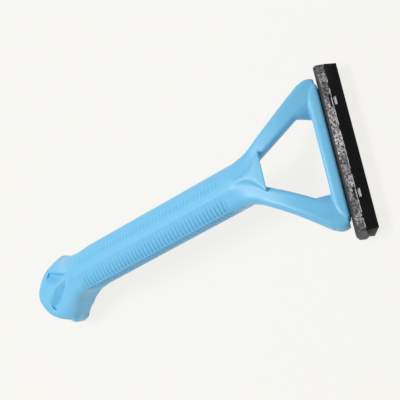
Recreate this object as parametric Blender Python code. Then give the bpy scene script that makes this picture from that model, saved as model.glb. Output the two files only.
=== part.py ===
"""Disposable razor: a one-piece moulded handle with a forked yoke, and a fixed head of five pieces
stacked on each other: the seat, a lower blade, a spacer, an upper blade and the cap.

Metres, +Z up, +X towards the head, +Y across. Lengths are modelled in the handle's own frame:
its origin is on the grip's axis where the yoke starts to bend, X runs along the grip to the head
and Z points out of the ribbed side. The head has a frame of its own: X goes through the stack from
the seat to the cap, Z points out of the rear face, and the cutting edges look along -Z. At the end
the whole razor is stood on its foot and on the head, as it lies on a table.
"""

import math

import bmesh
import bpy
from mathutils import Matrix, Vector

# Grip, measured from its axis
GRIP_LENGTH = 0.0581
GRIP_HALF_WIDTH = 0.0056
SPINE_HALF_WIDTH = 0.0011
CROWN_HEIGHT = 0.0037
SHOULDER_HEIGHT = 0.0018
SHOULDER_ROUND = 0.0025
FLOOR_DEPTH = 0.0041
FLOOR_HALF_WIDTH = 0.00445
FLOOR_ROUND = 0.0008

# Ribs across the grip
RIB_PITCH = 0.00128
RIB_DEPTH = 0.0003
RIB_GAP_TO_YOKE = 0.0019
RIB_GAP_TO_TAIL = 0.0005

# Tail, which hooks down into a foot
TAIL_LENGTH = 0.0192
TAIL_CROWN_DROP = 0.0040
TAIL_SHOULDER_DROP = 0.0040
TAIL_HALF_WIDTH = 0.0094
FOOT_HALF_WIDTH = 0.0074
FOOT_DEPTH = 0.0108
FOOT_TRIM = 0.0008
TAIL_END_SAG = 0.01225
FOOT_END_SAG = 0.0045
TAIL_END_ROUND = 0.0012
TAIL_SHOULDER_ROUND = 0.0040

# Grooves on top of the tail, one each side of a tongue
GROOVE_START = 0.0026
GROOVE_LENGTH = 0.0147
GROOVE_DEPTH = 0.0012
GROOVE_NECK = 0.0006
GROOVE_REACH = 0.0058
GROOVE_WALL_WIDTH = 0.0013
TAIL_TONGUE_HALF_WIDTH = 0.00015
TAIL_TONGUE_END_HALF_WIDTH = 0.0030

# Pockets that core out the underside
POCKET_WALL = 0.0015
POCKET_ROOF = 0.0021
POCKET_PITCH = 0.0108
WEB_THICKNESS = 0.0012
POCKET_DRAFT = 0.0003
FOOT_POCKET_LENGTH = 0.0090
FOOT_POCKET_HALF_WIDTH = 0.0034
FOOT_POCKET_ROOF = 0.0026

# Yoke, measured along its bent middle surface
HEAD_PITCH = math.radians(37.15)
BEND_RADIUS = 0.0327
YOKE_END_LENGTH = 0.0041
ARM_SPLAY = math.radians(39.5)
ARM_TOP = 0.0023
ARM_FLOOR = 0.0021
ARM_ROUND = 0.0016
YOKE_HALF_WIDTH = 0.0190
YOKE_CORNER_RADIUS = 0.0031
YOKE_CORNER_INSET = 0.0019
FORK_BLEND = 0.0037
FLOOR_RISE_LENGTH = 0.0020
FORK_START = 0.0092
FORK_UNDERCUT = 0.0030
OPENING_FORK_HALF_WIDTH = 0.0034
OPENING_HALF_WIDTH = 0.0101
OPENING_CORNER_RUN = 0.0036
OPENING_CORNER_TAPER = 0.0006
OPENING_TOP_ROUND = 0.0010
OPENING_FLOOR_ROUND = 0.0027
HOLLOW_TOP_ROUND = 0.0033
HOLLOW_FLOOR_ROUND = 0.0009
ARM_LAND = 0.0002

# Gusset plateau at the fork
GUSSET_LENGTH = 0.0070
GUSSET_HALF_WIDTH = 0.0051
GUSSET_TOP = 0.0033
GUSSET_TIP_WIDTH = 0.0003
GUSSET_SIDE_SLOPE = 0.0007

# Rail that carries the head
RAIL_WIDTH = 0.00285
RAIL_HALF_LENGTH = 0.0168
RAIL_END_CURVE = 0.0064
RAIL_RISE = 0.0004
RAIL_PROUD = 0.0003
RAIL_FLOOR = 0.0018
RAIL_ROUND = 0.0008
TONGUE_INSET = 0.0008
TONGUE_HEIGHT = 0.0018
TONGUE_DEPTH = 0.0006

# Head: the seat
HEAD_HALF_LENGTH = 0.0210
END_WALL = 0.0010
SEAT_THICKNESS = 0.0026
SEAT_REAR_CHAMFER = 0.00075
REAR_TO_YOKE_MIDDLE = 0.0026
REAR_LEAN = 0.0004
REAR_WALL = 0.0008
SEAT_DEPTH = 0.0050
SEAT_FRONT_DEPTH = 0.0065
SEAT_HEEL_DEPTH = 0.0034
SEAT_FRONT_RISE = 0.0006
GUARD_REACH = 0.0072
GUARD_DROP = 0.0005
GUARD_GROOVE_WIDTH = 0.0008
GUARD_GROOVE_DEPTH = 0.0008
GUARD_NOTCH_PITCH = 0.0013
GUARD_NOTCH_WIDTH = 0.0004
GUARD_NOTCH_DEPTH = 0.0003

# Head: the stack of blades and spacer
BLADE_THICKNESS = 0.0001
BLADE_BEVEL = 0.0006
LOWER_EDGE_DEPTH = 0.0060
UPPER_EDGE_DEPTH = 0.0046
SPACER_SHEET = 0.00035
SPACER_RIB_HEIGHT = 0.00040
SPACER_RIB_WIDTH = 0.0005
SPACER_RIB_PITCH = 0.0020
SPACER_DEPTH = 0.0041

# Head: the cap and its studs
CAP_THICKNESS = 0.0030
CAP_REAR_LEAN = 0.00075
CAP_NOSE_DEPTH = 0.0043
CAP_NOSE_THICKNESS = 0.0003
CAP_EAR_DEPTH = 0.0061
CAP_EAR_THICKNESS = 0.00155
EAR_LIP_RISE = 0.00047
EAR_LIP_DEPTH = 0.0056
STUD_RADIUS = 0.0007
STUD_TO_END = 0.0045
STUD_COUNT = 4
STUD_DEPTH = 0.0022
STUD_ROOT = 0.00025
CAP_END_DRAFT = 0.0003

# Windows through the rear wall, where the blades show
WINDOW_OFFSET = 0.01163
WINDOW_WIDTH = 0.0023
WINDOW_BELOW = 0.00045
WINDOW_ABOVE = 0.00100

# Clearances
SEAM_GAP = 0.0001
STACK_GAP = 0.00005
RAIL_GAP = 0.0003
TONGUE_CLEARANCE = 0.0002
STUD_CLEARANCE = 0.00015
CUT_OVERRUN = 0.0010

# Shares of the tail's length, and of each tail size, at the stations down the tail
TAIL_STATION_SHARES = (0.0, 0.1, 0.2, 0.32, 0.46, 0.6, 0.74, 0.88, 1.0)
TAIL_CROWN_SHARES = (0.0, 0.05, 0.14, 0.32, 0.56, 0.78, 0.92, 0.98, 1.0)
TAIL_WIDTH_SHARES = (0.0, 0.03, 0.13, 0.38, 0.68, 0.94, 1.17, 1.28, 1.08)
TAIL_FLOOR_SHARES = (0.13, 0.19, 0.25, 0.38, 0.51, 0.67, 0.86, 0.99, 1.03)
TAIL_FLARE_SHARES = (0.03, 0.2, 0.35, 0.51, 0.64, 0.72, 0.79, 0.9, 1.01)
TAIL_CAP_SHARES = ((0.975, 0.55), (0.92, 0.85), (0.82, 1.0), (0.4, 1.0))

# How strongly the ribs show at each corner of the half section, from the spine to the floor
RIB_ROOF_SHARES = (0.0, 0.0, 0.5, 0.6)
RIB_SHOULDER_SHARES = (0.6, 0.5, 0.5, 0.8, 1.0)
RIB_FLANK_SHARES = (0.9,)
RIB_VALLEY_SHARES = (0.32, 0.68)
ROOF_SHARES = (0.12, 0.56)
FLANK_SHARES = (0.4,)
FLOOR_SHARES = (0.35, 0.7)
CORNER_LIMIT_SHARE = 0.48

RIM_SHARE = 0.8
BOW_LIMIT_SHARE = 0.97
FORK_FLARE_SHARE = 0.35
GROOVE_FORK_SHARE = 0.62
GROOVE_FIRST_SHARE = 0.08
GROOVE_EASE_SHARE = 0.5
PLATE_SPINE_SHARE = 0.25
YOKE_CORNER_SHARE = 1.6
RAIL_STATION_SHARES = (0.0, 0.08, 0.25, 0.5, 0.75, 1.0)
GUSSET_CURVE = 2.2

SHOULDER_STEPS = 4
FLOOR_STEPS = 3
YOKE_CORNER_STATIONS = 7
YOKE_STATIONS = 15
OPENING_STATIONS = 8
RIM_STEPS = 4
HOLE_SIDES = 20

LIGHT_BLUE = (0.21, 0.56, 0.87, 1.0)
BLACK = (0.012, 0.012, 0.013, 1.0)
DARK_GREY = (0.05, 0.045, 0.05, 1.0)
STEEL = (0.72, 0.73, 0.74, 1.0)
ALUMINIUM = (0.82, 0.83, 0.84, 1.0)

# Derived sizes
ARC_LENGTH = BEND_RADIUS * HEAD_PITCH
YOKE_LENGTH = ARC_LENGTH + YOKE_END_LENGTH
TAIL_X = -GRIP_LENGTH
END_X = -(GRIP_LENGTH + TAIL_LENGTH)
RAIL_START = YOKE_LENGTH - RAIL_WIDTH

SEAT_TOP = -(BLADE_THICKNESS + 2 * STACK_GAP)
LOWER_BLADE_BOTTOM = SEAT_TOP + STACK_GAP
SPACER_BOTTOM = LOWER_BLADE_BOTTOM + BLADE_THICKNESS + STACK_GAP
SPACER_SHEET_BOTTOM = SPACER_BOTTOM + SPACER_RIB_HEIGHT
UPPER_BLADE_BOTTOM = SPACER_SHEET_BOTTOM + SPACER_SHEET + STACK_GAP
CAP_BOTTOM = UPPER_BLADE_BOTTOM + BLADE_THICKNESS + STACK_GAP
BLADE_REAR = REAR_WALL + STACK_GAP
BLADE_HALF_LENGTH = HEAD_HALF_LENGTH - END_WALL - STACK_GAP
STUD_ROW = (BLADE_REAR + CAP_NOSE_DEPTH) / 2
STUD_SPACING = 2 * (HEAD_HALF_LENGTH - STUD_TO_END) / (STUD_COUNT - 1)
STUD_PLACES = tuple(
    STUD_TO_END - HEAD_HALF_LENGTH + STUD_SPACING * index for index in range(STUD_COUNT)
)
TONGUE_HALF_LENGTH = RAIL_HALF_LENGTH - TONGUE_INSET


def clear_scene():
    for item in list(bpy.data.objects):
        bpy.data.objects.remove(item, do_unlink=True)


def new_collection(name):
    collection = bpy.data.collections.new(name)
    bpy.context.scene.collection.children.link(collection)
    return collection


def make_material(name, colour, roughness, metallic):
    material = bpy.data.materials.new(name)
    material.use_nodes = True
    shader = material.node_tree.nodes["Principled BSDF"]
    shader.inputs["Base Color"].default_value = colour
    shader.inputs["Roughness"].default_value = roughness
    shader.inputs["Metallic"].default_value = metallic
    material.diffuse_color = colour
    return material


def ease(value):
    """Smooth step from 0 to 1."""
    value = min(max(value, 0.0), 1.0)
    return value * value * (3.0 - 2.0 * value)


def blend(first, second, amount):
    return first + (second - first) * amount


def object_from_bmesh(shape, name, collection):
    bmesh.ops.recalc_face_normals(shape, faces=shape.faces[:])
    mesh = bpy.data.meshes.new(name)
    shape.to_mesh(mesh)
    shape.free()
    item = bpy.data.objects.new(name, mesh)
    collection.objects.link(item)
    return item


def loft(name, rings, collection, tip=None):
    """A closed body through rings of as many points each. The first ring is capped by a face; the
    last by a face too, or drawn together to the point tip."""
    shape = bmesh.new()
    rows = [[shape.verts.new(point) for point in ring] for ring in rings]
    for near, far in zip(rows, rows[1:]):
        for index, vertex in enumerate(near):
            after = (index + 1) % len(near)
            shape.faces.new((vertex, near[after], far[after], far[index]))
    shape.faces.new(rows[0])
    if tip is None:
        shape.faces.new(rows[-1])
    else:
        point = shape.verts.new(tip)
        for index, vertex in enumerate(rows[-1]):
            shape.faces.new((vertex, rows[-1][(index + 1) % len(rows[-1])], point))
    return object_from_bmesh(shape, name, collection)


def bar(name, outline, half_length, collection):
    """A bar along Y: outline is a list of (stack, depth) points in the head's frame."""
    curve = bpy.data.curves.new(name, "CURVE")
    curve.dimensions = "2D"
    curve.fill_mode = "BOTH"
    curve.extrude = half_length
    spline = curve.splines.new("POLY")
    spline.points.add(len(outline) - 1)
    for point, (stack, depth) in zip(spline.points, outline):
        point.co = (stack, -depth, 0.0, 1.0)
    spline.use_cyclic_u = True
    flat = bpy.data.objects.new(name, curve)
    collection.objects.link(flat)
    bpy.context.view_layer.update()
    evaluated = flat.evaluated_get(bpy.context.evaluated_depsgraph_get())
    mesh = bpy.data.meshes.new_from_object(evaluated)
    bpy.data.objects.remove(flat, do_unlink=True)
    for vertex in mesh.vertices:
        vertex.co = vertex.co.xzy
    shape = bmesh.new()
    shape.from_mesh(mesh)
    bpy.data.meshes.remove(mesh)
    bmesh.ops.remove_doubles(shape, verts=shape.verts[:], dist=BLADE_THICKNESS / 100)
    return object_from_bmesh(shape, name, collection)


def block(name, low, high, collection):
    """A box between two corners."""
    shape = bmesh.new()
    bmesh.ops.create_cube(shape, size=1.0)
    for vertex in shape.verts:
        share = [value + 0.5 for value in vertex.co]
        vertex.co = [blend(a, b, amount) for a, b, amount in zip(low, high, share)]
    return object_from_bmesh(shape, name, collection)


def disc(name, radius, stack_from, stack_to, place, collection):
    """A round pin through the stack, at one stud's place."""
    shape = bmesh.new()
    height = stack_to - stack_from
    bmesh.ops.create_cone(
        shape, cap_ends=True, segments=HOLE_SIDES, radius1=radius, radius2=radius, depth=height
    )
    turn = Matrix.Rotation(math.pi / 2, 4, "Y")
    middle = Vector((stack_from + height / 2, place, -STUD_ROW))
    bmesh.ops.transform(shape, matrix=Matrix.Translation(middle) @ turn, verts=shape.verts[:])
    return object_from_bmesh(shape, name, collection)


def joined(name, items, collection):
    """One object that holds several shapes that don't touch."""
    shape = bmesh.new()
    for item in items:
        shape.from_mesh(item.data)
        bpy.data.objects.remove(item, do_unlink=True)
    return object_from_bmesh(shape, name, collection)


def apply_boolean(body, tool, operation):
    """Cuts or joins tool into body, and leaves the result as body's mesh."""
    tool.hide_render = True
    tool.display_type = "WIRE"
    modifier = body.modifiers.new(operation.title(), "BOOLEAN")
    modifier.operation = operation
    modifier.object = tool
    modifier.solver = "EXACT"
    bpy.context.view_layer.update()
    evaluated = body.evaluated_get(bpy.context.evaluated_depsgraph_get())
    mesh = bpy.data.meshes.new_from_object(evaluated)
    body.modifiers.clear()
    old = body.data
    body.data = mesh
    bpy.data.meshes.remove(old)


def unite(body, tool):
    apply_boolean(body, tool, "UNION")


def cut(body, tool):
    apply_boolean(body, tool, "DIFFERENCE")


def along_handle(run, across, height):
    """A point of the handle from its place along the middle line: straight up to the bend, then
    round it, then straight on to the rail."""
    if run <= 0:
        return Vector((run, across, height))
    turned = min(run / BEND_RADIUS, HEAD_PITCH)
    radius = BEND_RADIUS + height
    point = Vector((radius * math.sin(turned), across, radius * math.cos(turned) - BEND_RADIUS))
    beyond = max(run - ARC_LENGTH, 0.0)
    return point + Vector((math.cos(turned), 0.0, -math.sin(turned))) * beyond


def corner_arc(before, corner, after):
    """The points that round one corner of a section. A corner without steps stays sharp."""
    place, radius, steps = Vector(corner[:2]), corner[2], corner[3]
    if not steps:
        return [place]
    back = Vector(before[:2]) - place
    ahead = Vector(after[:2]) - place
    half = back.angle(ahead) / 2
    limit = CORNER_LIMIT_SHARE * min(back.length, ahead.length)
    tangent = min(radius / math.tan(half), limit)
    inward = (back.normalized() + ahead.normalized()).normalized()
    centre = place + inward * (tangent / math.cos(half))
    first = place + back.normalized() * tangent - centre
    last = place + ahead.normalized() * tangent - centre
    sweep = first.angle(last)
    points = []
    for step in range(steps + 1):
        share = step / steps
        direction = first * math.sin((1 - share) * sweep) + last * math.sin(share * sweep)
        points.append(centre + direction / math.sin(sweep))
    return points


def rounded_half(corners, fills):
    """Half a section, from its top on the middle plane to its bottom: corners are (across, height,
    radius, steps), the first and last lie on the middle plane, and fills holds the shares of each
    straight part where it has a point more."""
    arcs = [[Vector(corners[0][:2])]]
    for before, corner, after in zip(corners, corners[1:], corners[2:]):
        arcs.append(corner_arc(before, corner, after))
    arcs.append([Vector(corners[-1][:2])])
    points = []
    for arc, following, shares in zip(arcs, arcs[1:], fills):
        points += arc
        points += [arc[-1].lerp(following[0], share) for share in shares]
    return points + arcs[-1]


def section(crown, spine, shoulder, floor, rounds):
    """Half a section of the handle. shoulder and floor are the corners' (across, height)."""
    corners = [
        (0.0, crown, 0.0, 0),
        (spine, crown, 0.0, 0),
        (*shoulder, rounds[0], SHOULDER_STEPS),
        (*floor, rounds[1], FLOOR_STEPS),
        (0.0, floor[1], 0.0, 0),
    ]
    return rounded_half(corners, ((), ROOF_SHARES, FLANK_SHARES, FLOOR_SHARES))


def rib_weights():
    """How deep the ribs cut at each point of the half section."""
    floor = (0.0,) * (FLOOR_STEPS + 2 + len(FLOOR_SHARES))
    return RIB_ROOF_SHARES + RIB_SHOULDER_SHARES + RIB_FLANK_SHARES + floor


def full_ring(half):
    """Both sides of a half section, as one ring of (across, height)."""
    other = [Vector((-point.x, point.y)) for point in half[-2:0:-1]]
    return list(half) + other


def grip_half():
    return section(
        CROWN_HEIGHT,
        SPINE_HALF_WIDTH,
        (GRIP_HALF_WIDTH, SHOULDER_HEIGHT),
        (FLOOR_HALF_WIDTH, -FLOOR_DEPTH),
        (SHOULDER_ROUND, FLOOR_ROUND),
    )


def tail_half(index):
    """The section at one station of the tail."""
    crown = CROWN_HEIGHT - TAIL_CROWN_DROP * TAIL_CROWN_SHARES[index]
    shoulder = SHOULDER_HEIGHT - TAIL_SHOULDER_DROP * TAIL_CROWN_SHARES[index]
    width = blend(GRIP_HALF_WIDTH, TAIL_HALF_WIDTH, TAIL_WIDTH_SHARES[index])
    floor_depth = blend(FLOOR_DEPTH, FOOT_DEPTH + FOOT_TRIM, TAIL_FLOOR_SHARES[index])
    flare = blend(FLOOR_HALF_WIDTH, FOOT_HALF_WIDTH, TAIL_FLARE_SHARES[index])
    shoulder_round = blend(SHOULDER_ROUND, TAIL_SHOULDER_ROUND, TAIL_WIDTH_SHARES[index])
    return section(
        crown,
        SPINE_HALF_WIDTH,
        (width, shoulder),
        (flare, -floor_depth),
        (shoulder_round, FLOOR_ROUND),
    )


def tail_point(share, across, height, extra=0.0):
    """A point of the tail. Its end is bowed in plan, more at the top than at the foot."""
    depth_share = ease((SHOULDER_HEIGHT - height) / (SHOULDER_HEIGHT + FOOT_DEPTH))
    half_width = blend(TAIL_HALF_WIDTH, FOOT_HALF_WIDTH, depth_share)
    sag = blend(TAIL_END_SAG, FOOT_END_SAG, depth_share)
    reach = min(abs(across) / half_width, BOW_LIMIT_SHARE)
    bow = sag * (1.0 - math.sqrt(1.0 - reach**2)) * share**2
    return Vector((TAIL_X - TAIL_LENGTH * share + bow - extra, across, height))


def yoke_outer(run):
    """Half the yoke's width at a place along the middle line."""
    slope = math.tan(ARM_SPLAY)
    corner_middle = YOKE_LENGTH - YOKE_CORNER_INSET
    corner_height = YOKE_HALF_WIDTH - YOKE_CORNER_RADIUS
    touch_run = corner_middle - YOKE_CORNER_RADIUS * math.sin(ARM_SPLAY)
    touch = corner_height + YOKE_CORNER_RADIUS * math.cos(ARM_SPLAY)
    if run > touch_run:
        reach = (run - corner_middle) / YOKE_CORNER_RADIUS
        return corner_height + YOKE_CORNER_RADIUS * math.sqrt(max(1.0 - reach * reach, 0.0))
    straight = touch - slope * (touch_run - run) - GRIP_HALF_WIDTH
    return GRIP_HALF_WIDTH + (straight + math.hypot(straight, FORK_BLEND)) / 2


def yoke_half(run):
    """The section of the yoke, which flattens from the grip's roof into a plate with round edges."""
    flat = ease(run / FORK_START)
    width = yoke_outer(run)
    crown = blend(CROWN_HEIGHT, ARM_TOP, flat)
    shoulder = blend(SHOULDER_HEIGHT, ARM_TOP, flat)
    floor_depth = blend(FLOOR_DEPTH, ARM_FLOOR, ease(run / FLOOR_RISE_LENGTH))
    floor_width = blend(FLOOR_HALF_WIDTH, width, flat)
    spine = blend(SPINE_HALF_WIDTH, width * PLATE_SPINE_SHARE, flat)
    rounds = (blend(SHOULDER_ROUND, ARM_ROUND, flat), blend(FLOOR_ROUND, ARM_ROUND, flat))
    return section(crown, spine, (width, shoulder), (floor_width, -floor_depth), rounds)


def yoke_runs():
    """Places of the yoke's sections, closer together round its outer corners."""
    corner = YOKE_CORNER_RADIUS * YOKE_CORNER_SHARE
    plain = YOKE_LENGTH - RAIL_PROUD - corner
    runs = [plain * index / YOKE_STATIONS for index in range(1, YOKE_STATIONS + 1)]
    quarter = math.pi / 2 / YOKE_CORNER_STATIONS
    runs += [plain + corner * math.sin(quarter * (i + 1)) for i in range(YOKE_CORNER_STATIONS)]
    return runs


def handle_rings():
    rings = []
    middle = Vector((0.0, -(FOOT_DEPTH - CROWN_HEIGHT + TAIL_CROWN_DROP) / 2))
    last = full_ring(tail_half(len(TAIL_STATION_SHARES) - 1))
    for size_share, reach_share in reversed(TAIL_CAP_SHARES):
        ring = [middle + (point - middle) * size_share for point in last]
        extra = TAIL_END_ROUND * reach_share
        rings.append([tail_point(1.0, point.x, point.y, extra) for point in ring])
    for index in reversed(range(len(TAIL_STATION_SHARES))):
        share = TAIL_STATION_SHARES[index]
        ring = full_ring(tail_half(index))
        rings.append([tail_point(share, point.x, point.y) for point in ring])

    weights = rib_weights()
    plain = grip_half()
    ribbed = []
    for point, weight in zip(plain, weights):
        ribbed.append(point * (1.0 - RIB_DEPTH * weight / point.length))
    start = TAIL_X + RIB_GAP_TO_TAIL
    count = int((GRIP_LENGTH - RIB_GAP_TO_TAIL - RIB_GAP_TO_YOKE) / RIB_PITCH + 0.5)
    pitch = (GRIP_LENGTH - RIB_GAP_TO_TAIL - RIB_GAP_TO_YOKE) / count
    profile = [(plain, 0.0), *((ribbed, share) for share in RIB_VALLEY_SHARES)]
    for rib in range(count):
        for half, share in profile:
            place = start + pitch * (rib + share)
            rings.append([Vector((place, p.x, p.y)) for p in full_ring(half)])
    ring = full_ring(plain)
    rings.append([Vector((-RIB_GAP_TO_YOKE, point.x, point.y)) for point in ring])
    for run in yoke_runs():
        rings.append([along_handle(run, p.x, p.y) for p in full_ring(yoke_half(run))])
    return rings


def gusset(collection):
    """The raised plateau in the fork: a horn that widens to a crisp edge over the opening."""
    rings = []
    start = FORK_START - GUSSET_LENGTH
    steps = OPENING_STATIONS
    for step in range(steps + 2):
        share = min(step / steps, 1.0)
        beyond = SPINE_HALF_WIDTH if step > steps else 0.0
        width = GUSSET_TIP_WIDTH + (GUSSET_HALF_WIDTH - GUSSET_TIP_WIDTH) * share**GUSSET_CURVE
        if beyond:
            width = opening_half_width(FORK_START)
        top = blend(CROWN_HEIGHT, GUSSET_TOP, share) + GUSSET_TIP_WIDTH * (1 - share)
        run = start + GUSSET_LENGTH * share - (0.0 if beyond else RAIL_GAP) + beyond
        ring = [(-width - GUSSET_SIDE_SLOPE, 0.0), (-width, top), (width, top)]
        ring.append((width + GUSSET_SIDE_SLOPE, 0.0))
        rings.append([along_handle(run, across, height) for across, height in ring])
    return loft("gusset", rings, collection)


def opening_half_width(run):
    """Half the opening's width: it widens along the arms, then closes in a little at the rail."""
    corner = RAIL_START - OPENING_CORNER_RUN
    if run <= corner:
        share = (run - FORK_START) / (corner - FORK_START)
        return blend(OPENING_FORK_HALF_WIDTH, OPENING_HALF_WIDTH, share)
    share = (run - corner) / OPENING_CORNER_RUN
    return OPENING_HALF_WIDTH - OPENING_CORNER_TAPER * share


def flared_side(face, radius):
    """Points of the cutter's side near one face: (how far in from the face, how far it flares)."""
    points = []
    for step in range(RIM_STEPS + 1):
        angle = math.pi / 2 * RIM_SHARE * step / RIM_STEPS
        flare = radius * (1.0 - math.cos(angle)) / math.cos(ARM_SPLAY)
        points.append((face - radius + radius * math.sin(angle), flare))
    rise = points[-1][0] - points[-2][0]
    slope = (points[-1][1] - points[-2][1]) / rise
    points.append((points[-1][0] + CUT_OVERRUN, points[-1][1] + slope * CUT_OVERRUN))
    return points


def opening_side(run):
    """The cutter's right side at a place, as (across, height) from the bottom up. Towards the rail
    the flare at the top grows into a hollow; at the fork both flares are narrower."""
    corner = RAIL_START - OPENING_CORNER_RUN
    hollow = max(run - corner, 0.0) / OPENING_CORNER_RUN
    fork = max(corner - run, 0.0) / (corner - FORK_START)
    top_round = blend(OPENING_TOP_ROUND, HOLLOW_TOP_ROUND, hollow)
    floor_round = blend(OPENING_FLOOR_ROUND, HOLLOW_FLOOR_ROUND, hollow)
    top = flared_side(ARM_TOP, top_round)
    low = flared_side(ARM_FLOOR, min(floor_round, ARM_TOP + ARM_FLOOR - top_round - ARM_LAND))
    width = opening_half_width(run)
    flare_share = blend(1.0, FORK_FLARE_SHARE, fork)
    side = [(width + flare * flare_share, -height) for height, flare in reversed(low)]
    return side + [(width + flare, height) for height, flare in top]


def opening_cutter(collection):
    """The triangle between the arms, flared at both faces so that the arms come out round. Its
    end at the fork is undercut, so that the gusset's edge hides it from behind the razor. Its other
    end reaches in under the rail, which is joined afterwards."""
    corner = RAIL_START - OPENING_CORNER_RUN
    runs = [blend(FORK_START, corner, i / OPENING_STATIONS) for i in range(OPENING_STATIONS + 1)]
    runs += [(corner + RAIL_START) / 2, RAIL_START + RAIL_PROUD]
    rings = []
    for run in runs:
        lean = (max(corner - run, 0.0) / (corner - FORK_START)) ** 2
        turned = min(run / BEND_RADIUS, HEAD_PITCH)
        backward = Vector((-math.cos(turned), 0.0, math.sin(turned)))
        right = opening_side(run)
        left = [(-across, height) for across, height in reversed(right)]
        ring = []
        for across, height in right + left:
            depth = (GUSSET_TOP - height) / (GUSSET_TOP + ARM_FLOOR)
            undercut = FORK_UNDERCUT * lean * depth
            ring.append(along_handle(run, across, height) + backward * undercut)
        rings.append(ring)
    return loft("yoke_opening", rings, collection)


def rail(collection):
    """The bar across the yoke's end, with a rounded back edge and bowed ends."""
    rings = []
    base = RAIL_HALF_LENGTH - RAIL_END_CURVE
    top = ARM_TOP + RAIL_RISE
    for share in RAIL_STATION_SHARES:
        width = base + RAIL_END_CURVE * math.sqrt(1.0 - (1.0 - share) ** 2)
        back = min(share * RAIL_WIDTH / RAIL_ROUND, 1.0)
        drop = RAIL_ROUND * (1.0 - math.sqrt(1.0 - (1.0 - back) ** 2))
        run = RAIL_START + RAIL_WIDTH * share
        edge = RAIL_ROUND / 2
        ring = [
            (-width, -RAIL_FLOOR),
            (-width, top - drop - edge),
            (-width + edge, top - drop),
            (width - edge, top - drop),
            (width, top - drop - edge),
            (width, -RAIL_FLOOR),
        ]
        rings.append([along_handle(run, across, height) for across, height in ring])
    return loft("rail", rings, collection)


def rail_tongue(collection):
    """The low tongue along the rail's front, which plugs into the seat."""
    rings = []
    half_height = TONGUE_HEIGHT / 2
    for run in (YOKE_LENGTH - RAIL_WIDTH / 2, YOKE_LENGTH + RAIL_GAP + TONGUE_DEPTH):
        corners = ((-1, -1), (1, -1), (1, 1), (-1, 1))
        sides = [(y * TONGUE_HALF_LENGTH, up * half_height) for y, up in corners]
        rings.append([along_handle(run, across, height) for across, height in sides])
    return loft("rail_tongue", rings, collection)


def tail_surface(share, across):
    """Height of the tail's top at a place along and across it."""
    stations = TAIL_STATION_SHARES
    index = 0
    while index < len(stations) - 2 and share > stations[index + 1]:
        index += 1
    amount = (share - stations[index]) / (stations[index + 1] - stations[index])
    drop = blend(TAIL_CROWN_SHARES[index], TAIL_CROWN_SHARES[index + 1], amount)
    width_share = blend(TAIL_WIDTH_SHARES[index], TAIL_WIDTH_SHARES[index + 1], amount)
    width = blend(GRIP_HALF_WIDTH, TAIL_HALF_WIDTH, width_share)
    crown = CROWN_HEIGHT - TAIL_CROWN_DROP * drop
    shoulder = SHOULDER_HEIGHT - TAIL_SHOULDER_DROP * drop
    roof = max(abs(across) - SPINE_HALF_WIDTH, 0.0) / (width - SPINE_HALF_WIDTH)
    return blend(crown, shoulder, roof)


def groove(side, collection):
    """One groove beside the tongue: a steep outer wall and a soft slope up to the tongue."""
    rings = []
    steps = OPENING_STATIONS
    for step in range(steps + 1):
        share = step / steps
        place = (GROOVE_START + GROOVE_LENGTH * share) / TAIL_LENGTH
        wall = blend(GROOVE_NECK, GROOVE_REACH, share)
        opened = ease(share / GROOVE_EASE_SHARE)
        bottom = wall - GROOVE_WALL_WIDTH * opened
        widening = max(share - GROOVE_FORK_SHARE, 0.0) / (1.0 - GROOVE_FORK_SHARE)
        tongue = blend(TAIL_TONGUE_HALF_WIDTH, TAIL_TONGUE_END_HALF_WIDTH, widening)
        tongue = min(tongue, bottom - TAIL_TONGUE_HALF_WIDTH)
        depth = GROOVE_DEPTH * blend(GROOVE_FIRST_SHARE, 1.0, opened)
        floor = tail_surface(place, wall) - depth
        over = CUT_OVERRUN
        slope = (bottom - tongue) / (tail_surface(place, tongue) - floor)
        points = [
            (wall + (wall - bottom) * over / depth, tail_surface(place, wall) + over),
            (bottom, floor),
            (tongue - slope * over, tail_surface(place, tongue) + over),
        ]
        rings.append([tail_point(place, side * across, up) for across, up in points])
    return loft("tail_groove", rings, collection)


def pocket(name, from_x, to_x, half_width, roof, depth, collection):
    """A cored pocket, open at the underside, with drafted walls."""
    rings = []
    for grow, height in ((0.0, roof), (POCKET_DRAFT, -depth - CUT_OVERRUN)):
        low, high = from_x - grow, to_x + grow
        width = half_width + grow
        corners = ((low, -width), (high, -width), (high, width), (low, width))
        rings.append([Vector((x, y, height)) for x, y in corners])
    return loft(name, rings, collection)


def pockets(collection):
    """The pockets of the grip, as many as fit in, and the one of the foot."""
    items = []
    for index in range(int((GRIP_LENGTH - WEB_THICKNESS) / POCKET_PITCH)):
        to_x = -WEB_THICKNESS - POCKET_PITCH * index
        from_x = to_x - (POCKET_PITCH - WEB_THICKNESS)
        width = FLOOR_HALF_WIDTH - POCKET_WALL
        roof = CROWN_HEIGHT - POCKET_ROOF
        items.append(pocket("pocket", from_x, to_x, width, roof, FLOOR_DEPTH, collection))
    to_x = TAIL_X - WEB_THICKNESS
    from_x = to_x - FOOT_POCKET_LENGTH
    roof = -FOOT_POCKET_ROOF
    width = FOOT_POCKET_HALF_WIDTH
    items.append(pocket("foot_pocket", from_x, to_x, width, roof, FOOT_DEPTH, collection))
    return joined("grip_pockets", items, collection)


def head_corner():
    """The lowest point of the head in the handle's frame: the tip of the cap's ears."""
    return head_matrix() @ Vector((CAP_EAR_THICKNESS, 0.0, -CAP_EAR_DEPTH))


def head_matrix():
    """Places the head's frame on the rail, in the handle's frame."""
    origin = along_handle(
        YOKE_LENGTH + RAIL_GAP + SEAT_THICKNESS, 0.0, REAR_TO_YOKE_MIDDLE
    )
    return Matrix.Translation(origin) @ Matrix.Rotation(HEAD_PITCH, 4, "Y")


def rest_tilt():
    """How far the handle's axis leans from level when foot and head touch the table."""
    corner = head_corner()
    return math.atan2(-FOOT_DEPTH - corner.z, corner.x - END_X)


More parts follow.
